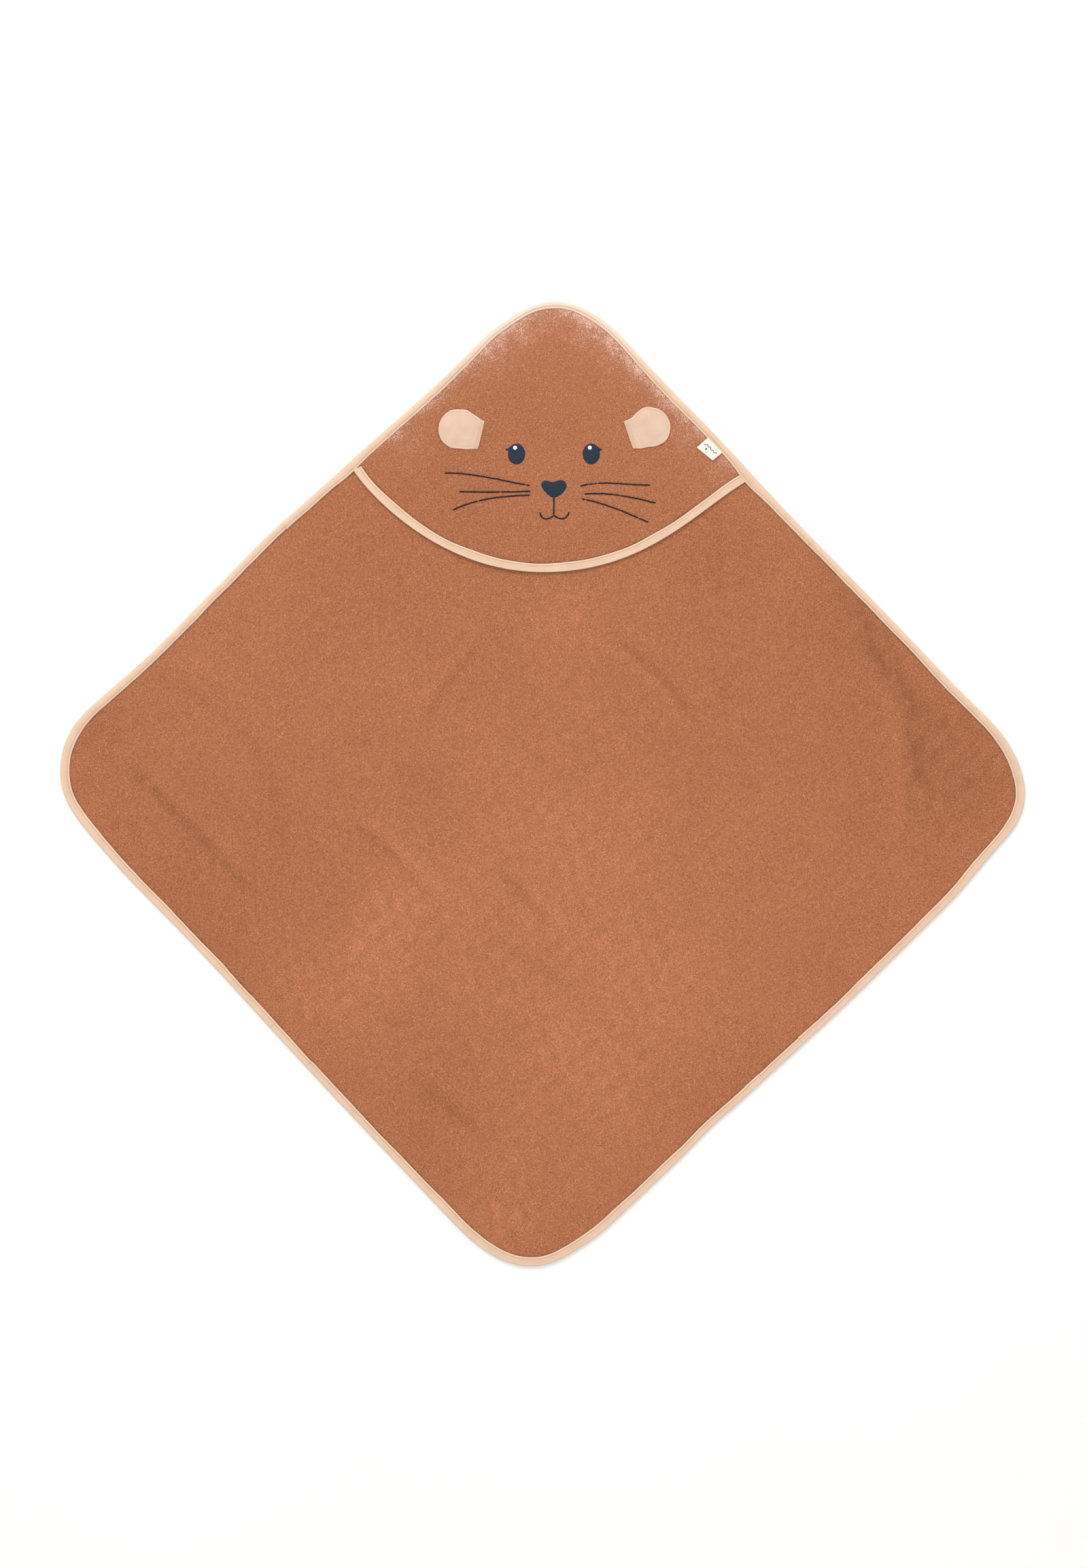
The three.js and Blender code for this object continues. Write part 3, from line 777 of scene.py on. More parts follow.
def strip_profile(s, width, high, lip, seed):
    """Outer and inner face of a folded strip at lengths s: distances from the outer edge, and heights.

    Under: flat. Round: half an ellipse of radii roll and high / 2. Over: high, less a groove
    exp(-((w - groove) / its width)^2), less a fall to the lip, plus a pillow and puckers, w from the lip.
    """
    s, width, high, lip = (np.asarray(v, float)[:, None] + 0 * s[:, None] for v in (s, width, high, lip))
    roll = 0.46 * high
    draw = np.random.default_rng(seed)
    under_q = width + (roll - width) * np.linspace(0, 1, UNDER_STEPS)
    turn = np.linspace(-np.pi / 2, np.pi / 2, ROUND_STEPS + 2)[1:-1]
    w = (width - roll) * np.linspace(1, 0, LIP_STEPS) ** 1.35
    pull = 0.75 + 0.25 * np.cos(2 * np.pi * s / STITCH_PITCH)
    groove = 0.6 * MM * pull * np.exp(-(((w - GROOVE) / GROOVE_WIDE) ** 2))
    fall = (high - lip) * (1 - ease(w / (1.1 * MM)))
    pillow = 0.25 * MM * np.sin(np.pi * np.clip((w - GROOVE) / (width - roll - GROOVE), 0, 1))
    pucker = 0
    for length in draw.uniform(3.5, 11, 5) * MM:
        slanted = s + draw.uniform(0.3, 0.9) * w * draw.choice([-1, 1])
        swell = 0.6 + 0.4 * np.sin(2 * np.pi * s / (draw.uniform(60, 140) * MM) + draw.uniform(0, 6))
        pucker = pucker + np.sin(2 * np.pi * slanted / length + draw.uniform(0, 6)) * swell
    pucker = 0.05 * MM * pucker * np.exp(-((w - GROOVE) / (5 * MM)) ** 2)
    over = high - groove - fall + pillow + pucker - 0.25 * MM

    def face(thin):
        rounded_q = roll - (roll - thin) * np.cos(turn)
        rounded_z = high / 2 + (high / 2 - thin) * np.sin(turn) - 0.12 * MM * (1 + np.sin(turn))
        q = np.concatenate([under_q, rounded_q, width - w], 1)
        z = np.concatenate([thin + 0 * under_q, rounded_z, over - thin], 1)
        return q, z

    return face(0.0), face(SKIN)


def strip_tone(q, w, tip_part):
    """The painted light and shade of the jersey at q from the outer edge and w from the lip, paler towards
    the hood's tip.

    Each band adds amount x exp(-((distance - middle) / width)^2).
    """
    bands = (
        (q, 0.5, 0.0, 2.6 * MM),  # painted highlight where it rolls round the edge
        (w, -0.6, GROOVE, 0.7 * MM),  # painted shade in the groove
        (w, 0.55, 0.9 * MM, 0.9 * MM),  # painted highlight on the ridge between groove and lip
        (q, -1.2, 0.0, 0.55 * MM),  # painted shade on the outermost line
    )
    tone = 0.5 * tip_part
    for distance, amount, middle, width in bands:
        tone = tone + amount * np.exp(-(((distance - middle) / width) ** 2))
    return tone


def fold_strip(name, path, s, width, high, lip, base, look, slot, seed):
    """The strip swept along a path: each profile point is moved inward from the path, and up from base."""
    point, inward = path(s)
    profiles = strip_profile(s, width, high, lip, seed)
    faces = []
    for q, z in profiles:
        plane = point[:, None] + inward[:, None] * q
        faces.append(laid(with_height(plane, z + base(plane))))
    q, z = profiles[0]
    # painted highlight and shade across the strip, paler towards the hood's tip
    tone = strip_tone(q, width[:, None] - q, ease((point.imag - 440 * MM) / (70 * MM))[:, None])
    weave = np.stack([s[:, None] + 0 * q, q + z, tone], -1)
    return slab(name, faces[0], faces[1], look, slot, weave)


# %% [markdown]
# ## Rows of stitches
#
# The sewing is a lockstitch: short dashes of thread lying in the groove. One dash is a bead of a few dozen
# faces, and numpy copies it to every place at once, turned along the path.


# %% One bead, copied along a path
def bead(rings=5, around=6):
    """An oval bead of length 1: rings whose radius is (1 - (2x)^4)^(1/2) / 2, and two end points."""
    x = np.cos(np.linspace(0, np.pi, rings + 2))[1:-1] / 2
    radius = np.sqrt(1 - (2 * x) ** 4) / 2
    angle = np.arange(around) * 2 * np.pi / around
    turned = radius[:, None] * np.exp(1j * angle)
    rounds = np.stack([x[:, None] + 0 * angle, turned.real, turned.imag], -1).reshape(-1, 3)
    points = np.concatenate([rounds, [[0.5, 0, 0], [-0.5, 0, 0]]])
    grid = np.arange(rings * around).reshape(rings, around)
    beside = np.roll(grid, -1, 1)
    sides = quads(grid[:-1], grid[1:], beside[1:], beside[:-1])[:, ::-1]
    first = np.stack([grid[0], beside[0], np.full(around, len(rounds))], -1)
    last = np.stack([beside[-1], grid[-1], np.full(around, len(rounds) + 1)], -1)
    return points, sides, np.concatenate([first, last])


def stitch_row(name, place, ahead, height, size, look):
    """A bead at each place, its length along `ahead`, scaled to size = (length, width, thickness)."""
    points, sides, ends = bead()
    length, width, thick = size
    plane = place[:, None] + ahead[:, None] * (points[:, 0] * length + 1j * points[:, 1] * width)
    where = laid(with_height(plane, np.asarray(height)[:, None] + points[:, 2] * thick))
    step = np.arange(len(place))[:, None, None] * len(points)
    faces = [(sides[None] + step).reshape(-1, 4), (ends[None] + step).reshape(-1, 3)]
    return add_mesh(name, where.reshape(-1, 3), faces, look)


# %% [markdown]
# ## The binding along the edge
#
# On the real towel one long strip goes all the way round, and its joint is hidden under the hood. A strip
# that has to follow three folds is made as six lengths that meet just past the fold lines: three are
# attached to the towel, and three lie on the corners past the folds. Neighbours share the same profile where
# they meet, apart from their puckers, so the cuts don't show. The hood lies inside the binding near the top,
# which makes it thicker there.

# %% The binding in six lengths
EDGE_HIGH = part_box("edge_binding_hood")[1].z
OPEN_HIGH = 4.3 * MM  # away from the hood there is one cloth less inside


def s_where(value):
    """The lengths along the outline at which value(point) changes sign."""
    s = np.arange(0, EDGE_LENGTH, 0.1 * MM)
    v = value(edge_at(s)[0])
    return s[np.nonzero(np.diff(np.sign(v)))[0]]


def edge_strip(part, start, end, seed):
    """One length of the binding and its stitches, higher above HOOD_END, where the hood lies inside it."""
    count = int((end - start) / (1.1 * MM))
    s = np.linspace(start, end, count)
    point, _ = edge_at(s)
    hooded = ease((point.imag - HOOD_END + 8 * MM) / (16 * MM))
    high = OPEN_HIGH + (EDGE_HIGH - OPEN_HIGH) * hooded + 0.4 * MM * hem_swell(point)
    wander = waves(s + 0j, 60 * MM, 0.22 * MM, seed) + waves(s + 0j, 17 * MM, 0.08 * MM, seed + 1)
    lip = high - (0.75 * MM + 0.25 * MM * (1 - hooded))
    width = edge_width(point) + wander
    strip = fold_strip(
        f"binding_{part}", edge_at, s, width, high, lip, lambda plane: 0.0, binding_jersey, "binding", seed
    )
    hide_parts(f"edge_binding_{part}")
    middle = np.arange(start + STITCH_PITCH / 2, end, STITCH_PITCH)
    point, inward = edge_at(middle)
    place = point + inward * (np.interp(middle, s, width) - GROOVE)
    top = np.interp(middle, s, high) - STITCH_DOWN
    row = stitch_row(
        f"stitches_{part}", place, -1j * inward, top, STITCH_SIZE, sewing_thread
    )
    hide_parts(f"edge_stitches_{part}")
    print(f"binding_{part}: {end - start:.3f} m, {len(strip.data.polygons)} faces, {len(middle)} stitches")
    return strip, row


side_cuts = s_where(lambda point: abs(point.real) - side_split + MM)
foot_cuts = s_where(lambda point: -point.imag - foot_split + MM)
cuts = np.sort(np.concatenate([side_cuts, foot_cuts]))
print("cuts along the edge at", np.round(cuts, 3))
lengths = {
    "hood": (cuts[5] - EDGE_LENGTH, cuts[0], None),
    "left": (cuts[0], cuts[1], "left_corner_fold"),
    "lower_left": (cuts[1], cuts[2], None),
    "foot": (cuts[2], cuts[3], "foot_corner_fold"),
    "lower_right": (cuts[3], cuts[4], None),
    "right": (cuts[4], cuts[5], "right_corner_fold"),
}
for seed, (part, (start, end, fold)) in enumerate(lengths.items()):
    for piece in edge_strip(part, start, end, 10 + 10 * seed):
        if fold:
            bend_over(piece, fold, **CORNER_BEND)
        else:
            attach(piece, "towel")

# %% [markdown]
# ## Where the face is
#
# The animal's face is embroidered a little off the middle of the hood and turned a degree and a half. Its
# parts are placed in millimetres from the middle of the line through the eyes, and one multiplication by a
# complex number turns and moves them onto the hood. The whisker lines come first because the stitching
# pulls the terry down beside it, and the hood has to know where.

# %% Places on the face
FACE_TURN = np.exp(1j * np.radians(1.5))
FACE_MIDDLE = complex(3 * MM, HOOD_FOLD + 16 * MM)
EYE_APART = 81.4
EYE_WIDE, EYE_HIGH = 18.9, 22.7
NOSE_WIDE, NOSE_HIGH, NOSE_TOP = 27.8, 19.1, -28.4
MOUTH_DROP = 19.2
LINE_WIDE = 1.85 * MM
LINE_HIGH = 0.6 * MM
WHISKERS = {
    "left_whisker_upper": ((-26, -34.5), (-56, -28.6), (-82, -23.8), (-119, -20.7)),
    "left_whisker_middle": ((-25.6, -40.6), (-63, -41.4), (-103, -41)),
    "left_whisker_lower": ((-26, -44.9), (-56, -46.7), (-82, -51.1), (-110, -61)),
    "right_whisker_upper": ((28.6, -35.2), (55, -31.7), (84, -33.1), (105, -33.7)),
    "right_whisker_middle": ((33, -43.8), (55, -43.4), (73, -45.3), (111, -53.2)),
    "right_whisker_lower": ((30, -48.8), (51, -53.9), (77, -63.2), (103, -74.2)),
}


def on_face(x, y):
    """Millimetres across and up from the middle of the eye line, as a place on the towel."""
    return FACE_MIDDLE + (np.asarray(x) + 1j * np.asarray(y)) * MM * FACE_TURN


def through(points, count):
    """A smooth line through a few points: a polynomial of one degree less in the length between them."""
    x, y = np.array(points, float).T
    t = np.r_[0, np.cumsum(np.hypot(np.diff(x), np.diff(y)))]
    fine = np.linspace(0, t[-1], count)
    return on_face(*(np.polyval(np.polyfit(t, v, len(points) - 1), fine) for v in (x, y)))


whisker_lines = {name: through(points, 240) for name, points in WHISKERS.items()}
foot = NOSE_TOP - NOSE_HIGH - MOUTH_DROP
smile_t = np.linspace(0, 1, 80)


def smile(x, y):
    """Half of the smile: from the foot of the upright line, down, level, and up to (x, foot + y)."""
    curve = bezier((0j, complex(0.3 * x, -5.2), complex(0.92 * x, -6.2), complex(x, y)), smile_t)
    return on_face(curve.real, foot + curve.imag)


mouth_lines = [
    on_face(np.zeros(80), np.linspace(NOSE_TOP - NOSE_HIGH + 0.6, foot, 80)),
    smile(-15.2, 3.2),
    smile(16.3, 3.8),
]
stitched = np.concatenate([line[::4] for line in [*whisker_lines.values(), *mouth_lines]])
round_the_eye = np.exp(2j * np.pi * np.arange(24) / 24)
for side in (-1, 1):
    eye_rim = EYE_WIDE / 2 * round_the_eye.real, EYE_HIGH / 2 * round_the_eye.imag
    stitched = np.r_[stitched, on_face(side * EYE_APART / 2 + eye_rim[0], eye_rim[1])]
print(len(stitched), "places where stitches pull the hood down")

# %% [markdown]
# ## The hood
#
# The hood is a second terry cloth. It lies on the towel along the edges and rises to a low, open pocket in
# the middle, about 5 mm, where the child's head goes. Its front is cut to a shallow curve. Like the towel
# it is one cloth in two meshes: the crown is attached to the towel, and the brim lies below the fold line.

# %% [markdown]
# ### The curve of the hem
#
# Two Bezier curves meet at the lowest point of the hood's front. Everything on the hem follows this one
# line: the brim ends on it, the binding is folded over it, and the stitches run beside it. The hood's own
# heights need it too, so it comes before them.

# %% The hem as a path
HEM_WIDE = 9.7 * MM
HEM_HIGH = 2.9 * MM
HEM_SAG = 108 * MM
HEM_END = complex(sharp - 8.7 * MM / SLANT - HOOD_END, HOOD_END)
HEM_LOW = complex(-12 * MM, HOOD_FOLD - HEM_SAG)
hem_t = np.linspace(0, 1, 200)
hem_left = -HEM_END.real + 1j * HEM_END.imag
# The curve leaves its ends steeply, more so on the left, and runs level through its lowest point.
hem_line = np.r_[
    bezier((hem_left, hem_left + (7.5 - 14.5j) * MM, HEM_LOW - 114.5 * MM, HEM_LOW), hem_t),
    bezier((HEM_LOW, HEM_LOW + 114.5 * MM, HEM_END - (56 + 35.8j) * MM, HEM_END), hem_t)[1:],
]
hem_length = np.r_[0, np.cumsum(abs(np.diff(hem_line)))]


def hem_edge(s):
    """The hem binding's outer edge at length s from the left end, and the direction in towards the hood."""
    step = 0.5 * MM
    before, after = (
        np.interp(s + d, hem_length, hem_line.real) + 1j * np.interp(s + d, hem_length, hem_line.imag)
        for d in (-step, step)
    )
    inward = 1j * (after - before) / abs(after - before)
    return (before + after) / 2 - inward * HEM_WIDE / 2, inward


print(f"hem: {hem_length[-1]:.3f} m along its middle")

# %% [markdown]
# ### How high the hood lies
#
# The pocket is air: nothing holds the hood up but its own stiffness and the seam at its edge. A cloth
# simulation would be free to let it sink or lean. The frame says how high it stands, so its underside is
# written as one function of the distance from the edge, and the upper face follows it. The embroidery,
# the ears and the label ask the same two functions where the cloth is.

# %% Heights of the hood
HOOD_THICK = 2.4 * MM
HOOD_CELL = 1.9 * MM
HOOD_LOW = CLOTH_TOP + 0.3 * MM
HOOD_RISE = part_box("hood_crown")[1].z - HOOD_LOW - HOOD_THICK
HOOD_SPLIT = HOOD_FOLD + HOOD_BEND["lead"]
BINDING_LIP = 9.3 * MM  # from the outline to the edge binding's lip, beside the hood
HOOD_LEAN = -0.02  # the hood's pile is this much darker
LOW_CORNER = complex(-155 * MM, 372 * MM)  # a patch of painted sheen on the left of the crown


def hood_under(plane):
    """The hood's underside: low within 24 mm of the edge, then up over 40 mm as (1 - cos(pi t^0.7)) / 2.

    Towards the hem the rise sinks to a third of itself, because the binding's weight lays the front down.
    """
    t = np.clip((from_edge(plane) - 24 * MM) / (40 * MM), 0, 1)
    open_share = 0.3 + 0.7 * ease(distance_to(plane, hem_line[::4]) / (60 * MM))
    return HOOD_LOW + HOOD_RISE * open_share * (1 - np.cos(np.pi * t**0.7)) / 2


def hood_face(plane, smooth=True):
    """The hood's upper face: the cloth is thinner beside the binding, and stitches pull it down."""
    inside = ease((from_edge(plane) - 7 * MM) / (8 * MM))
    pulled = 0.35 * MM * np.exp(-((distance_to(plane, stitched) / (2.6 * MM)) ** 2))
    drape = waves(plane, 60 * MM, 0.16 * MM, 7) * inside
    loops = 0 if smooth else pile(plane, abs(plane.imag - HOOD_SPLIT), 8) * inside
    return hood_under(plane) + HOOD_THICK - 1.2 * MM * (1 - inside) - pulled + drape + loops


def painted_sheen_density(plane):
    """How dense the painted sheen is: exp(-distance from the binding / reach), plus one small patch.

    It is denser, and reaches further, towards the tip and on the right.
    """
    wide_tip = ease((plane.imag - 420 * MM) / (60 * MM))
    reach = 13 * MM + 12 * MM * wide_tip + 9 * MM * ease(plane.real / (100 * MM))
    near_edge = np.exp(-np.maximum(from_edge(plane) - 8 * MM, 0) / reach)
    towards_tip = ease((plane.imag - 360 * MM) / (120 * MM))
    right_side = ease((plane.real - 60 * MM) / (100 * MM))
    low_corner = np.exp(-((abs(plane - LOW_CORNER) / (20 * MM)) ** 2))
    return near_edge * (0.45 + 0.58 * towards_tip + 0.24 * right_side) + 0.3 * low_corner


def hood_sheet(name, node, across, low, high):
    """A sheet of the hood: columns at `across`, each from its low to its high place.

    Inside the hem's binding the cloth is pressed to less than a millimetre, and thinnest at the hem's ends.
    """
    share = hemmed(np.linspace(0, 1, int((high - low).max() / HOOD_CELL)), 0.0004)
    plane = across[:, None] + 1j * (low[:, None] + (high - low)[:, None] * share)
    top, under = hood_face(plane, smooth=False), hood_under(plane)
    past_lip = distance_to(plane, hem_line) - HEM_WIDE / 2
    held = 1 - ease((past_lip + 0.3 * MM) / (4 * MM))
    from_end = ease(abs(abs(plane.real) + 1j * plane.imag - HEM_END) / (14 * MM))
    pressed_top, pressed_under = (0.75 + 0.69 * from_end) * MM, (0.62 - 0.06 * from_end) * MM
    top += (under + pressed_top - top) * held
    under += pressed_under * (1 - ease((past_lip + 0.8 * MM) / (0.8 * MM)))
    to_lip = np.minimum(from_edge(plane) - edge_width(plane), past_lip)
    # the painted sheen's density, the hood's lean, and the way to a lip for the painted contact shadow
    weave = np.stack([painted_sheen_density(plane), HOOD_LEAN + 0 * top, to_lip], -1)
    upper, lower = laid(with_height(plane, top)), laid(with_height(plane, under))
    piece = slab(name, upper, lower, terry, "terry", weave)
    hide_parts(node)
    return piece


# %% [markdown]
# ### The two sheets of the hood
#
# The crown has the corner's outline above the fold line, and the brim lies between the fold line and the
# hem. Both are sewn into the bindings, so each goes a few millimetres further than can be seen.

# %% Crown and brim
rows_y = np.linspace(HOOD_SPLIT, tip, int((tip - HOOD_SPLIT) / HOOD_CELL))
crown_half = half_width(rows_y, IN_BINDING)
widest = crown_half[0]
crown_x = widest * np.linspace(-1, 1, int(2 * widest / HOOD_CELL))
crown_high = np.interp(abs(crown_x), crown_half[::-1], rows_y[::-1])
keep = crown_high > HOOD_SPLIT + 0.4 * MM
crown_x, crown_high = crown_x[keep], crown_high[keep]
crown_low = np.full(len(crown_x), HOOD_SPLIT)
crown = hood_sheet("hood_terry_crown", "hood_crown", crown_x, crown_low, crown_high)
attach(crown, "towel")

hem_rim, hem_inward = hem_edge(hem_length)
brim_rim = hem_rim + hem_inward * (HEM_WIDE - 3.2 * MM)
brim_x = np.linspace(brim_rim[0].real, brim_rim[-1].real, int(2 * HEM_END.real / HOOD_CELL))
brim_low = np.interp(brim_x, brim_rim.real, brim_rim.imag)
beside_binding = sharp - abs(brim_x) - (BINDING_LIP - 1.2 * MM) / SLANT
brim_high = np.minimum(HOOD_SPLIT, beside_binding)
brim_low = np.minimum(brim_low, brim_high - 0.4 * MM)
brim = hood_sheet("hood_terry_brim", "hood_brim", brim_x, brim_low, brim_high)
bend_over(brim, "hood_fold_back", **HOOD_BEND)

# %% [markdown]
# ### The hem's binding
#
# The front of the hood is bound with the same jersey before the hood is laid on the towel, and its ends
# then disappear into the edge binding. So it is the same folded strip on another path, and it flattens
# over its last 14 mm, where it is pressed between the layers.

# %% The hem's binding and stitches
hem_s = np.linspace(1.5 * MM, hem_length[-1] - 1.5 * MM, int(hem_length[-1] / (0.6 * MM)))
hem_ends = np.minimum(hem_s, hem_length[-1] - hem_s)
hem_high = HEM_HIGH - 1.0 * MM * (1 - ease(hem_ends / (14 * MM)))
hem_wide = HEM_WIDE + waves(hem_s + 0j, 50 * MM, 0.25 * MM, 90)
hem_lip = hem_high - 0.55 * MM
hem_strip = fold_strip(
    "hem_binding", hem_edge, hem_s, hem_wide, hem_high, hem_lip, hood_under, binding_jersey, "binding", 91
)
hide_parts("hood_hem_binding")
hem_marks = np.arange(4 * MM, hem_length[-1] - 4 * MM, STITCH_PITCH)
point, inward = hem_edge(hem_marks)
hem_groove = point + inward * (np.interp(hem_marks, hem_s, hem_wide) - GROOVE)
hem_top = hood_under(hem_groove) + np.interp(hem_marks, hem_s, hem_high) - STITCH_DOWN
hem_stitches = stitch_row(
    "hem_stitches", hem_groove, -1j * inward, hem_top, STITCH_SIZE, sewing_thread
)
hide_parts("hood_hem_stitches")
for piece in (hem_strip, hem_stitches):
    bend_over(piece, "hood_fold_back", **HOOD_BEND)
print(len(hem_marks), "stitches along the hem")

# %% [markdown]
# ## Embroidered lines
#
# The whiskers and the mouth are lines of close stitches in dark brown. On the cloth such a line is a low
# rounded rib with a slanting twist, a little uneven, with tapered ends and here and there a thin place.
# A tube would stand too high and round. A flat slab with a domed top, twisted by a slanting sine, is
# closer to a stitched line.

# %% A stitched line
def stitched_line(line, width, rise, base, seed, thin=()):
    """Outer and inner grid of a line: it tapers, and its top is rise x (1 - k^2)^(1/2) plus a twist.

    k runs from -1 to 1 across the line. Each place in `thin` is a share of its length.
    """
    s = np.r_[0, np.cumsum(abs(np.diff(line)))]
    t = s / s[-1]
    ahead = np.gradient(line)
    left = 1j * ahead / abs(ahead)
    draw = np.random.default_rng(seed)
    line = line + left * waves(s + 0j, 14 * MM, 0.10 * MM, seed)
    half = width / 2 * (0.9 + 0.1 * draw.uniform(-1, 1, len(s)))
    half = half * np.sqrt(np.clip(np.minimum(s, s[-1] - s) / (1.2 * MM), 0.08, 1))
    for place in thin:
        half = half * (1 - 0.72 * np.exp(-(((t - place) / 0.012) ** 2)))
    k = np.linspace(-1, 1, 9)
    plane = line[:, None] + left[:, None] * half[:, None] * k
    twist = 0.15 * rise * np.sin(2 * np.pi * s[:, None] / (1.3 * MM) + 2.2 * k)
    dome = np.sqrt(1 - k**2)
    ground = base(plane)
    high = ground + 0.4 * rise + (rise * half[:, None] / (width / 2) + twist) * dome
    return with_height(plane, high), with_height(plane, ground - 0.2 * MM)


THIN_PLACES = {
    "left_whisker_upper": (0.05,),
    "left_whisker_middle": (0.42,),
    "left_whisker_lower": (0.66,),
    "right_whisker_upper": (0.13, 0.2, 0.25),
    "right_whisker_middle": (0.5,),
    "right_whisker_lower": (0.06, 0.85),
}
fold_start = HOOD_FOLD - HOOD_BEND["reach"]
for seed, (name, line) in enumerate(whisker_lines.items()):
    grids = stitched_line(line, LINE_WIDE, LINE_HIGH, hood_face, 120 + seed, THIN_PLACES[name])
    piece = slab(f"stitched_{name}", *grids, line_thread, "line_thread", soft_rim=True)
    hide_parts(name)
    if line.imag.max() + MM > fold_start:
        bend_over(piece, "hood_fold_back", **HOOD_BEND)
    else:
        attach(piece, "hood_front")


def joined(name, shells, look):
    """Several closed skins as one piece: each one's point numbers follow those of the skins before it."""
    points = np.concatenate([p for p, _, _ in shells])
    before = np.cumsum([0] + [len(p) for p, _, _ in shells[:-1]])
    faces = np.concatenate([f + b for (_, f, _), b in zip(shells, before)])
    return add_mesh(name, points, [faces], look)


mouth_skins = [
    shell(*stitched_line(line, LINE_WIDE, LINE_HIGH, hood_face, 130 + place))
    for place, line in enumerate(mouth_lines)
]
mouth = joined("stitched_mouth", mouth_skins, line_thread)
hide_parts("mouth")
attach(mouth, "hood_front")
print("whiskers and mouth made")

# %% [markdown]
# ## Satin stitch: eyes, nose and glints
#
# The eyes and nose are filled with long parallel stitches of navy thread. Each thread starts and ends on
# the outline, never quite evenly, so the rim is slightly ragged, and the threads lie side by side as fine
# ridges. The pad is a grid whose first direction runs along the threads and whose second goes from thread
# to thread.

# %% Satin stitch pads
THREAD_PITCH = 0.45  # millimetres from thread to thread
GLINT_RADIUS = 2.2


def satin_pad(name, across, low, high, turn, middle, lift, look, slot, seed, rise=0.55):
    """Threads from low to high at each place across, with ridges between them. All sizes are millimetres.

    The pad starts `lift` over the hood and is `rise` high: (1 - |2u - 1|^3)^(1/2) along a thread, and
    (1 - |span|^5)^(1/2) across the threads.
    """
    draw = np.random.default_rng(seed)
    thread = np.floor(across / THREAD_PITCH).astype(int)
    thread -= thread.min()
    ragged = draw.uniform(-0.14, 0.14, (2, thread.max() + 1))
    u = np.linspace(0, 1, 24)[:, None]
    u = u - np.sin(2 * np.pi * u) / (2 * np.pi) * 0.55
    along = (low + ragged[0][thread]) * (1 - u) + (high + ragged[1][thread]) * u
    plane = on_face(*middle) + (along + 1j * across) * turn * MM * FACE_TURN
    span = (across - across.min()) / np.ptp(across) * 2 - 1
    crown = np.sqrt((1 - abs(2 * u - 1) ** 3) * (1 - np.minimum(abs(span), 1) ** 5))
    ridges = 0.05 * abs(np.cos(np.pi * across / THREAD_PITCH))
    ground = hood_face(plane) + lift * MM
    top = ground + (0.05 + rise * crown + ridges * crown) * MM
    lower = with_height(plane, ground - 0.2 * MM)
    return slab(name, with_height(plane, top), lower, look, slot, soft_rim=True)


def eye_edge(y):
    """Outer and inner side of an eye: an ellipse, with a lash outside, whose two sides curve to its tip."""
    half_w, half_h = EYE_WIDE / 2, EYE_HIGH / 2
    ellipse = half_w * np.sqrt(np.clip(1 - (y / half_h) ** 2, 0, 1))
    low_x, low, tip_x, tip_y, high_x, high = 9.1, 2.6, 12.8, 5.0, 6.3, 8.6  # the lash's three corners
    under = low_x + (tip_x - low_x) * np.clip((y - low) / (tip_y - low), 0, 1) ** 1.2
    over = tip_x - (tip_x - high_x) * np.clip((y - tip_y) / (high - tip_y), 0, 1) ** 0.7
    lash = np.where((y > low) & (y < high), np.minimum(under, over), 0)
    return np.maximum(np.maximum(ellipse, lash), 0.4), np.maximum(ellipse, 0.4)


eye_y = np.sin(np.linspace(-0.5, 0.5, 260) * np.pi) * (EYE_HIGH / 2 - 0.02)
for side, word in ((-1, "left"), (1, "right")):
    outer, inner = eye_edge(eye_y)
    low, high = (-outer, inner) if side < 0 else (-inner, outer)
    middle = (side * EYE_APART / 2, 0)
    eye = satin_pad(
        f"satin_{word}_eye", eye_y, low, high, 1, middle, 0, satin_thread, "satin_thread", 140 + side
    )
    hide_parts(f"{word}_eye")
    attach(eye, "towel")
    spot_y = np.sin(np.linspace(-0.5, 0.5, 40) * np.pi) * GLINT_RADIUS
    spot = np.sqrt(np.maximum(GLINT_RADIUS**2 - spot_y**2, 0.04))
    place = (side * EYE_APART / 2 - 1.6, 6.8)
    glint = satin_pad(
        f"satin_{word}_eye_glint", spot_y, -spot, spot, 1, place, 0.45,
        white_thread, "white_thread", 150 + side, 0.4,
    )
    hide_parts(f"{word}_eye_glint")
    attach(glint, "towel")

nose_t = np.linspace(0, 1, 60)
nose_foot = np.r_[
    bezier((-13.9 - 6j, -13.4 - 9.2j, -6.2 - 18.2j, -1.6 - 19.1j), nose_t),
    bezier((-1.6 - 19.1j, 5.2 - 19.6j, 13.9 - 12.2j, 13.9 - 6.2j), nose_t),
]
nose_top = np.r_[
    bezier((-13.9 - 6j, -13.9 - 2.2j, -11.6 - 0.6j, -8.6 - 0.6j), nose_t),
    bezier((-8.6 - 0.6j, -5.4 - 0.6j, -4.2 - 1.9j, -1.6 - 1.9j), nose_t),
    bezier((-1.6 - 1.9j, 1.2 - 1.9j, 3.2 + 0j, 7.4 + 0j), nose_t),
    bezier((7.4 + 0j, 11.2 + 0j, 13.9 - 2.4j, 13.9 - 6.2j), nose_t),
]
nose_x = np.sin(np.linspace(-0.5, 0.5, 260) * np.pi) * (NOSE_WIDE / 2 - 0.03)
steps = 0.55 * np.sin(nose_x * 1.9) * ease((-2 - nose_x) / 3) * ease((nose_x + 13.4) / 3)
nose_low = np.interp(nose_x, nose_foot.real, nose_foot.imag) + steps
nose_high = np.interp(nose_x, nose_top.real, nose_top.imag)
nose = satin_pad(
    "satin_nose", -nose_x, nose_low, np.maximum(nose_high, nose_low + 0.3), 1j, (0, NOSE_TOP),
    0, satin_thread, "satin_thread", 160,
)
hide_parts("nose")
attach(nose, "hood_front")
print("eyes, glints and nose made")

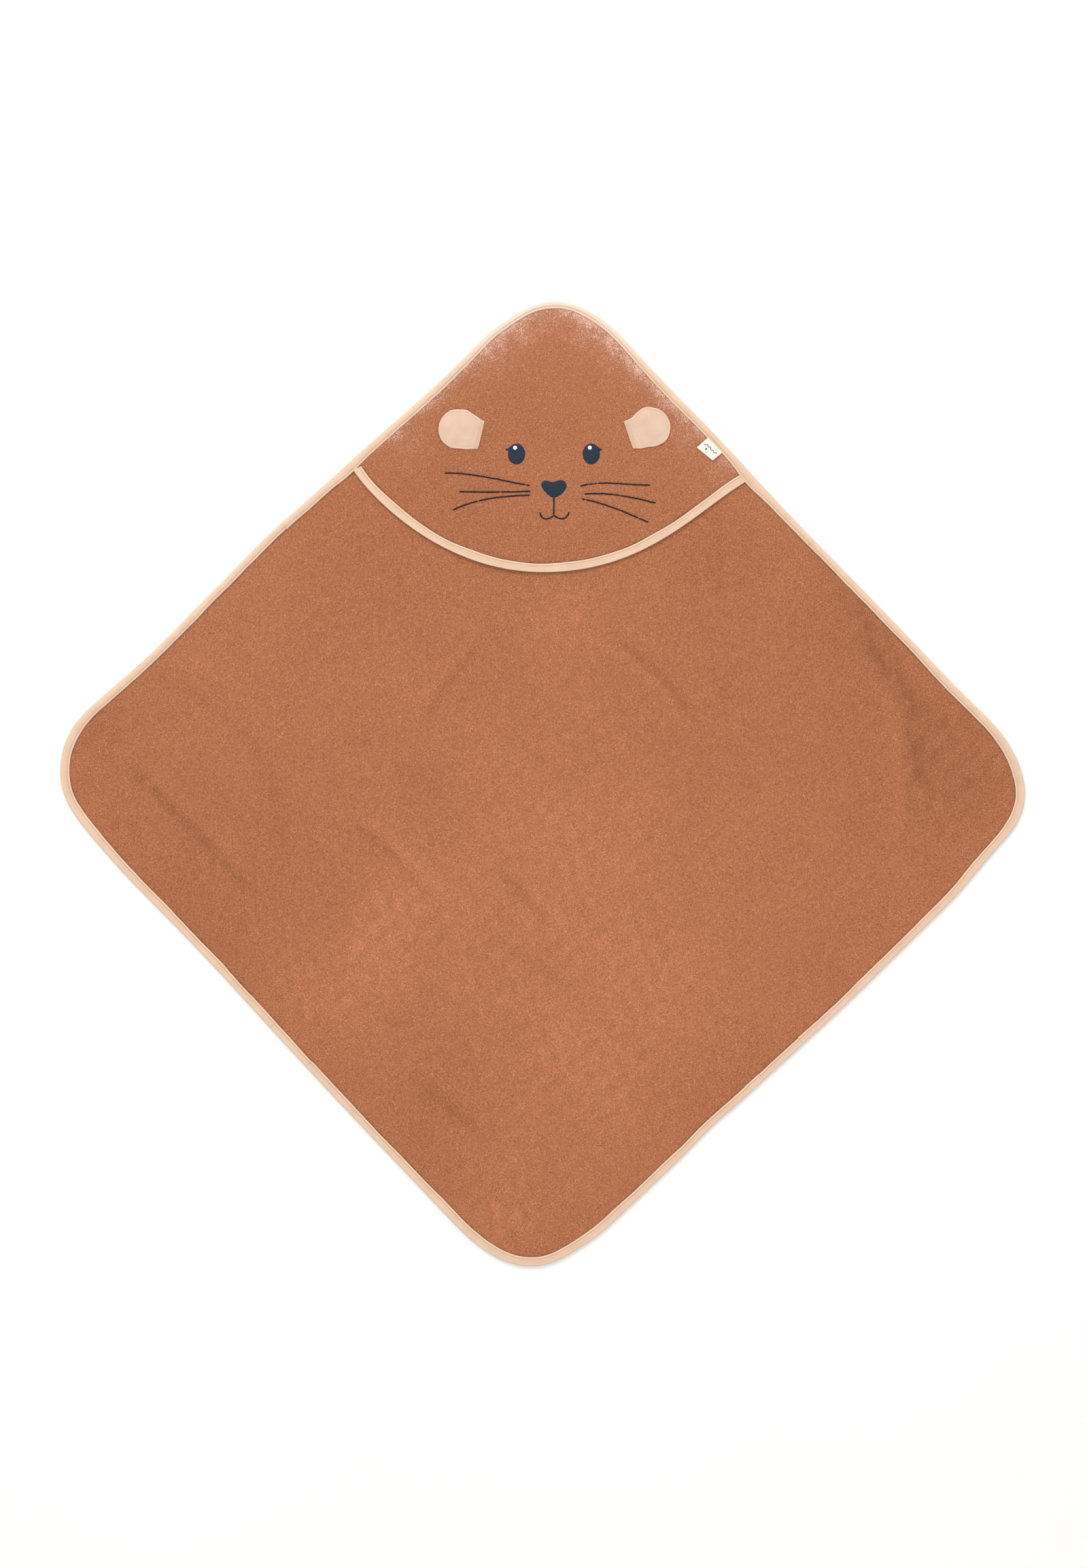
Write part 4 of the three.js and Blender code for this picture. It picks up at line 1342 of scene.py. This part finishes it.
# %% [markdown]
# ## Ears
#
# Each ear is two layers of jersey sewn together, turned right side out and caught to the hood along its
# inner edge with two rows of stitches. Turning it leaves a rolled seam round the rim and a soft, nearly
# flat middle. It is too thin for a cloth simulation to add anything but noise, so its height is a function
# of the distance from its outline: up over the roll, a dip at the seam, then a low puff.

# %% Two jersey ears
EAR_RADIUS, EAR_MIDDLE, EAR_LIFT, EAR_BASE = 22.0, 25.7, 1.0, 30.8  # in millimetres, as is all here
EAR_LONG = EAR_MIDDLE + EAR_RADIUS
EAR_TIP = 0.02  # the mesh stops this far before the outermost point
EAR_SEAM = 4.5  # from the sewn edge to the line on which the ear flips
EAR_ROWS = (3.8, 1.9)  # how far from the sewn edge its two rows of stitches lie
EAR_STITCH = (1.6 * MM, 0.55 * MM, 0.35 * MM)


def ear_halves(x, side):
    """Lower and upper rim at each x: a straight flank that leaves the sewn edge and touches a circle."""
    centre = EAR_MIDDLE + 1j * side * EAR_LIFT
    halves = []
    for end in (-1, 1):
        to_end = end * 0.5j * EAR_BASE - centre
        heading = np.angle(to_end) - end * np.arccos(EAR_RADIUS / abs(to_end))
        touch = centre + EAR_RADIUS * np.exp(1j * heading)
        round_y = centre.imag + end * np.sqrt(np.clip(EAR_RADIUS**2 - (x - centre.real) ** 2, 0, None))
        flank_y = end * EAR_BASE / 2 + (touch.imag - end * EAR_BASE / 2) * x / touch.real
        rim = np.where(x < touch.real, flank_y, round_y)
        uneven = 0.35 * np.sin(x / 4.7 + side + end) + 0.2 * np.sin(x / 2.3 + 2 * end)
        hollow = 1.1 * np.exp(-(((x - 9) / 6) ** 2)) * (side * end > 0) * (side > 0)
        halves.append(rim + (uneven - hollow) * end * ease(x / 6))
    return halves


def ear_face(x, y, side):
    """The front's height over the hood in mm: a rim that rolls over, a dip at the seam, a puff, two sewn
    rows.

    With it comes painted light and shade: a painted highlight on the roll, and painted shade in the seam,
    along the rows and beside them.
    """
    fine = EAR_LONG - EAR_TIP - EAR_LONG * (1 - np.sin(np.linspace(0, np.pi / 2, 160)))
    low, high = ear_halves(fine, side)
    outline = np.r_[fine + 1j * low, fine[::-1] + 1j * high[::-1], 1j * np.linspace(high[0], low[0], 60)]
    away = distance_to(x + 1j * y, outline)
    roll = 1.25 * np.sqrt(1 - (1 - np.clip(away / 1.5, 0, 1)) ** 2)
    seam = np.exp(-(((away - 2.6) / 0.6) ** 2)) * ease((x - 5) / 2)
    puff = 0.95 * ease((away - 2.6) / 9) * ease((x - EAR_SEAM + 1) / 9)
    rows = sum(np.exp(-(((x - row) / 0.5) ** 2)) for row in EAR_ROWS)
    # painted highlight on the roll; painted shade in the seam, along the rows and beside the sewn edge
    tone = 0.6 * (1 - ease(away / 1.8)) - 0.22 * seam - 0.25 * (1 - ease((x - 4) / 2)) - 0.4 * rows
    return 0.35 + roll - 0.3 * seam + puff - 0.3 * rows + waves(x + 1j * y, 11, 0.07, 200 + side), tone


for side, word in ((-1, "left"), (1, "right")):
    place, outward, _ = hinge(f"{word}_ear_flip")
    way = complex(outward[0], outward[1])
    root = complex(place[0], place[1]) - way * EAR_SEAM * MM
    across = (EAR_LONG - EAR_TIP) * np.sin(np.linspace(0, np.pi / 2, 96))
    low, high = ear_halves(across, side)
    share = np.linspace(0, 1, 72)
    share = share - np.sin(2 * np.pi * share) / (2 * np.pi) * 0.6
    x = across[:, None] + 0 * share
    y = low[:, None] + (high - low)[:, None] * share
    plane = root + way * (x + 1j * y) * MM
    ground = hood_face(plane) + 0.25 * MM
    high, tone = ear_face(x, y, side)
    front, back = with_height(plane, ground + high * MM), with_height(plane, ground)
    weave = np.stack([x * MM, y * MM, tone], -1)
    ear = slab(f"{word}_ear", front, back, ear_jersey, "ear_jersey", weave, soft_rim=True)
    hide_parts(f"{word}_ear_back", f"{word}_ear_front", f"{word}_ear_sewn_edge")
    bend_over(ear, f"{word}_ear_flip", **EAR_BEND)

    row_y = np.arange(-13, 13.1, 2.6)
    row_x = np.repeat(EAR_ROWS, len(row_y))
    row_y = np.tile(row_y, len(EAR_ROWS))
    spots = root + way * (row_x + 1j * row_y) * MM
    high = hood_face(spots) + (0.3 + ear_face(row_x, row_y, side)[0]) * MM
    ahead = np.full(len(spots), way * 1j)
    row = stitch_row(f"{word}_ear_rows", spots, ahead, high, EAR_STITCH, sewing_thread)
    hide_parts(f"{word}_ear_stitches")
    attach(row, "towel")
    print(f"{word} ear: {len(ear.data.polygons)} faces, {len(spots)} stitches")

# %% [markdown]
# ## The label
#
# A short tape is folded in half and both its ends are caught under the edge binding. It carries a generic
# woven mark, a wave and a dot. The tape is one slab swept along the folded path: out over the hood, round
# the fold at its free end, and back on top. It lies a little askew, so its free edge isn't quite parallel
# to the binding.

# %% A folded tape and its woven mark
LABEL_WIDE, LABEL_LONG = 22.5, 13.6
TAPE_TUCKED, TAPE_SHORT = 5.5, 2.2  # how far its lower and upper layer run back under the binding
LAYERS_APART = 0.95 * MM
TAPE = 0.32 * MM
label_place, label_in, _ = hinge("label_flip")
label_root = complex(label_place[0], label_place[1])
label_way = complex(label_in[0], label_in[1])
label_side = complex(*(-x for x in hinge("label_flip")[2]["axis"][:2]))


def on_label(across, out):
    """Millimetres across and out along the tape as a place: one side is 11% longer than the middle."""
    askew = out * (1 - 0.11 * across / (LABEL_WIDE / 2) * (out > 0))
    lean = -0.05 * np.maximum(out, 0)
    return label_root + (label_side * (across + lean) + label_way * askew) * MM


def tape_lift(across, out):
    """How high the tape lies over the hood in mm: a soft belly, and a free corner that lifts a little."""
    t = np.clip(out / LABEL_LONG, 0, 1)
    return 0.35 + 0.5 * np.sin(np.pi * t) * 0.5 + 0.7 * t**2 * ease((across + 4) / 15)


label_u = np.linspace(-LABEL_WIDE / 2, LABEL_WIDE / 2, 46)[:, None]
fold = np.linspace(-np.pi / 2, np.pi / 2, 11)[1:-1]
fold_out = LABEL_LONG - 0.5
lower_layer = np.linspace(-TAPE_TUCKED, fold_out, 26)
upper_layer = np.linspace(fold_out, -TAPE_SHORT, 24)
out_path = np.r_[lower_layer, fold_out + 0.5 * np.cos(fold), upper_layer]
level = np.r_[0 * lower_layer, 0.5 + 0.5 * np.sin(fold), 0 * upper_layer + 1]
out_path, level = out_path[None] + 0 * label_u, level[None] + 0 * label_u
tape_plane = on_label(label_u + 0 * out_path, out_path)
caught = ease((out_path + 0.6) / 3.5)
resting = hood_face(tape_plane) + tape_lift(label_u, out_path) * MM + level * LAYERS_APART
under_binding = HOOD_LOW + (1.15 + 0.55 * level) * MM
middle = under_binding * (1 - caught) + resting * caught
tape_points = laid(with_height(tape_plane, middle))
down = np.cross(np.gradient(tape_points, axis=0), np.gradient(tape_points, axis=1))
facing = down / np.linalg.norm(down, axis=-1, keepdims=True)
stripes = np.stack([out_path * MM, label_u * MM + 0 * out_path, 0 * out_path], -1)
over, beneath = tape_points + facing * TAPE / 2, tape_points - facing * TAPE / 2
label = slab("label_folded_tape", over, beneath, tape_look, "label_tape", stripes)
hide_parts("label_tape", "label_tucked_end")
bend_over(label, "label_flip", **LABEL_BEND)


def tape_top(plane):
    """The height of the tape's upper face at a place on the label."""
    local = (plane - label_root) / MM
    out = (local * np.conj(label_way)).real
    across = (local * np.conj(label_side)).real + 0.05 * out
    return hood_face(plane) + tape_lift(across, out) * MM + LAYERS_APART + TAPE / 2 * 1.1


INK_HIGH = 0.15 * MM
wave_t = np.linspace(-8.6, 8.6, 220)
wave_line = on_label(wave_t, 6.1 + 0.9 * np.sin(wave_t * 1.45) + 0.35 * np.sin(wave_t * 0.5))
dot_t = np.linspace(-1.2, 1.2, 30)
dot_line = on_label(-3.2 + 0 * dot_t, 9.6 + dot_t)
mark_skins = [
    shell(*stitched_line(wave_line, 0.7 * MM, INK_HIGH, tape_top, 180)),
    shell(*stitched_line(dot_line, 2.2 * MM, INK_HIGH, tape_top, 181)),
]
wave = joined("label_wave", mark_skins, tape_ink)
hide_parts("label_woven_wave")
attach(wave, "label")
print(f"label: {len(label.data.polygons)} faces")
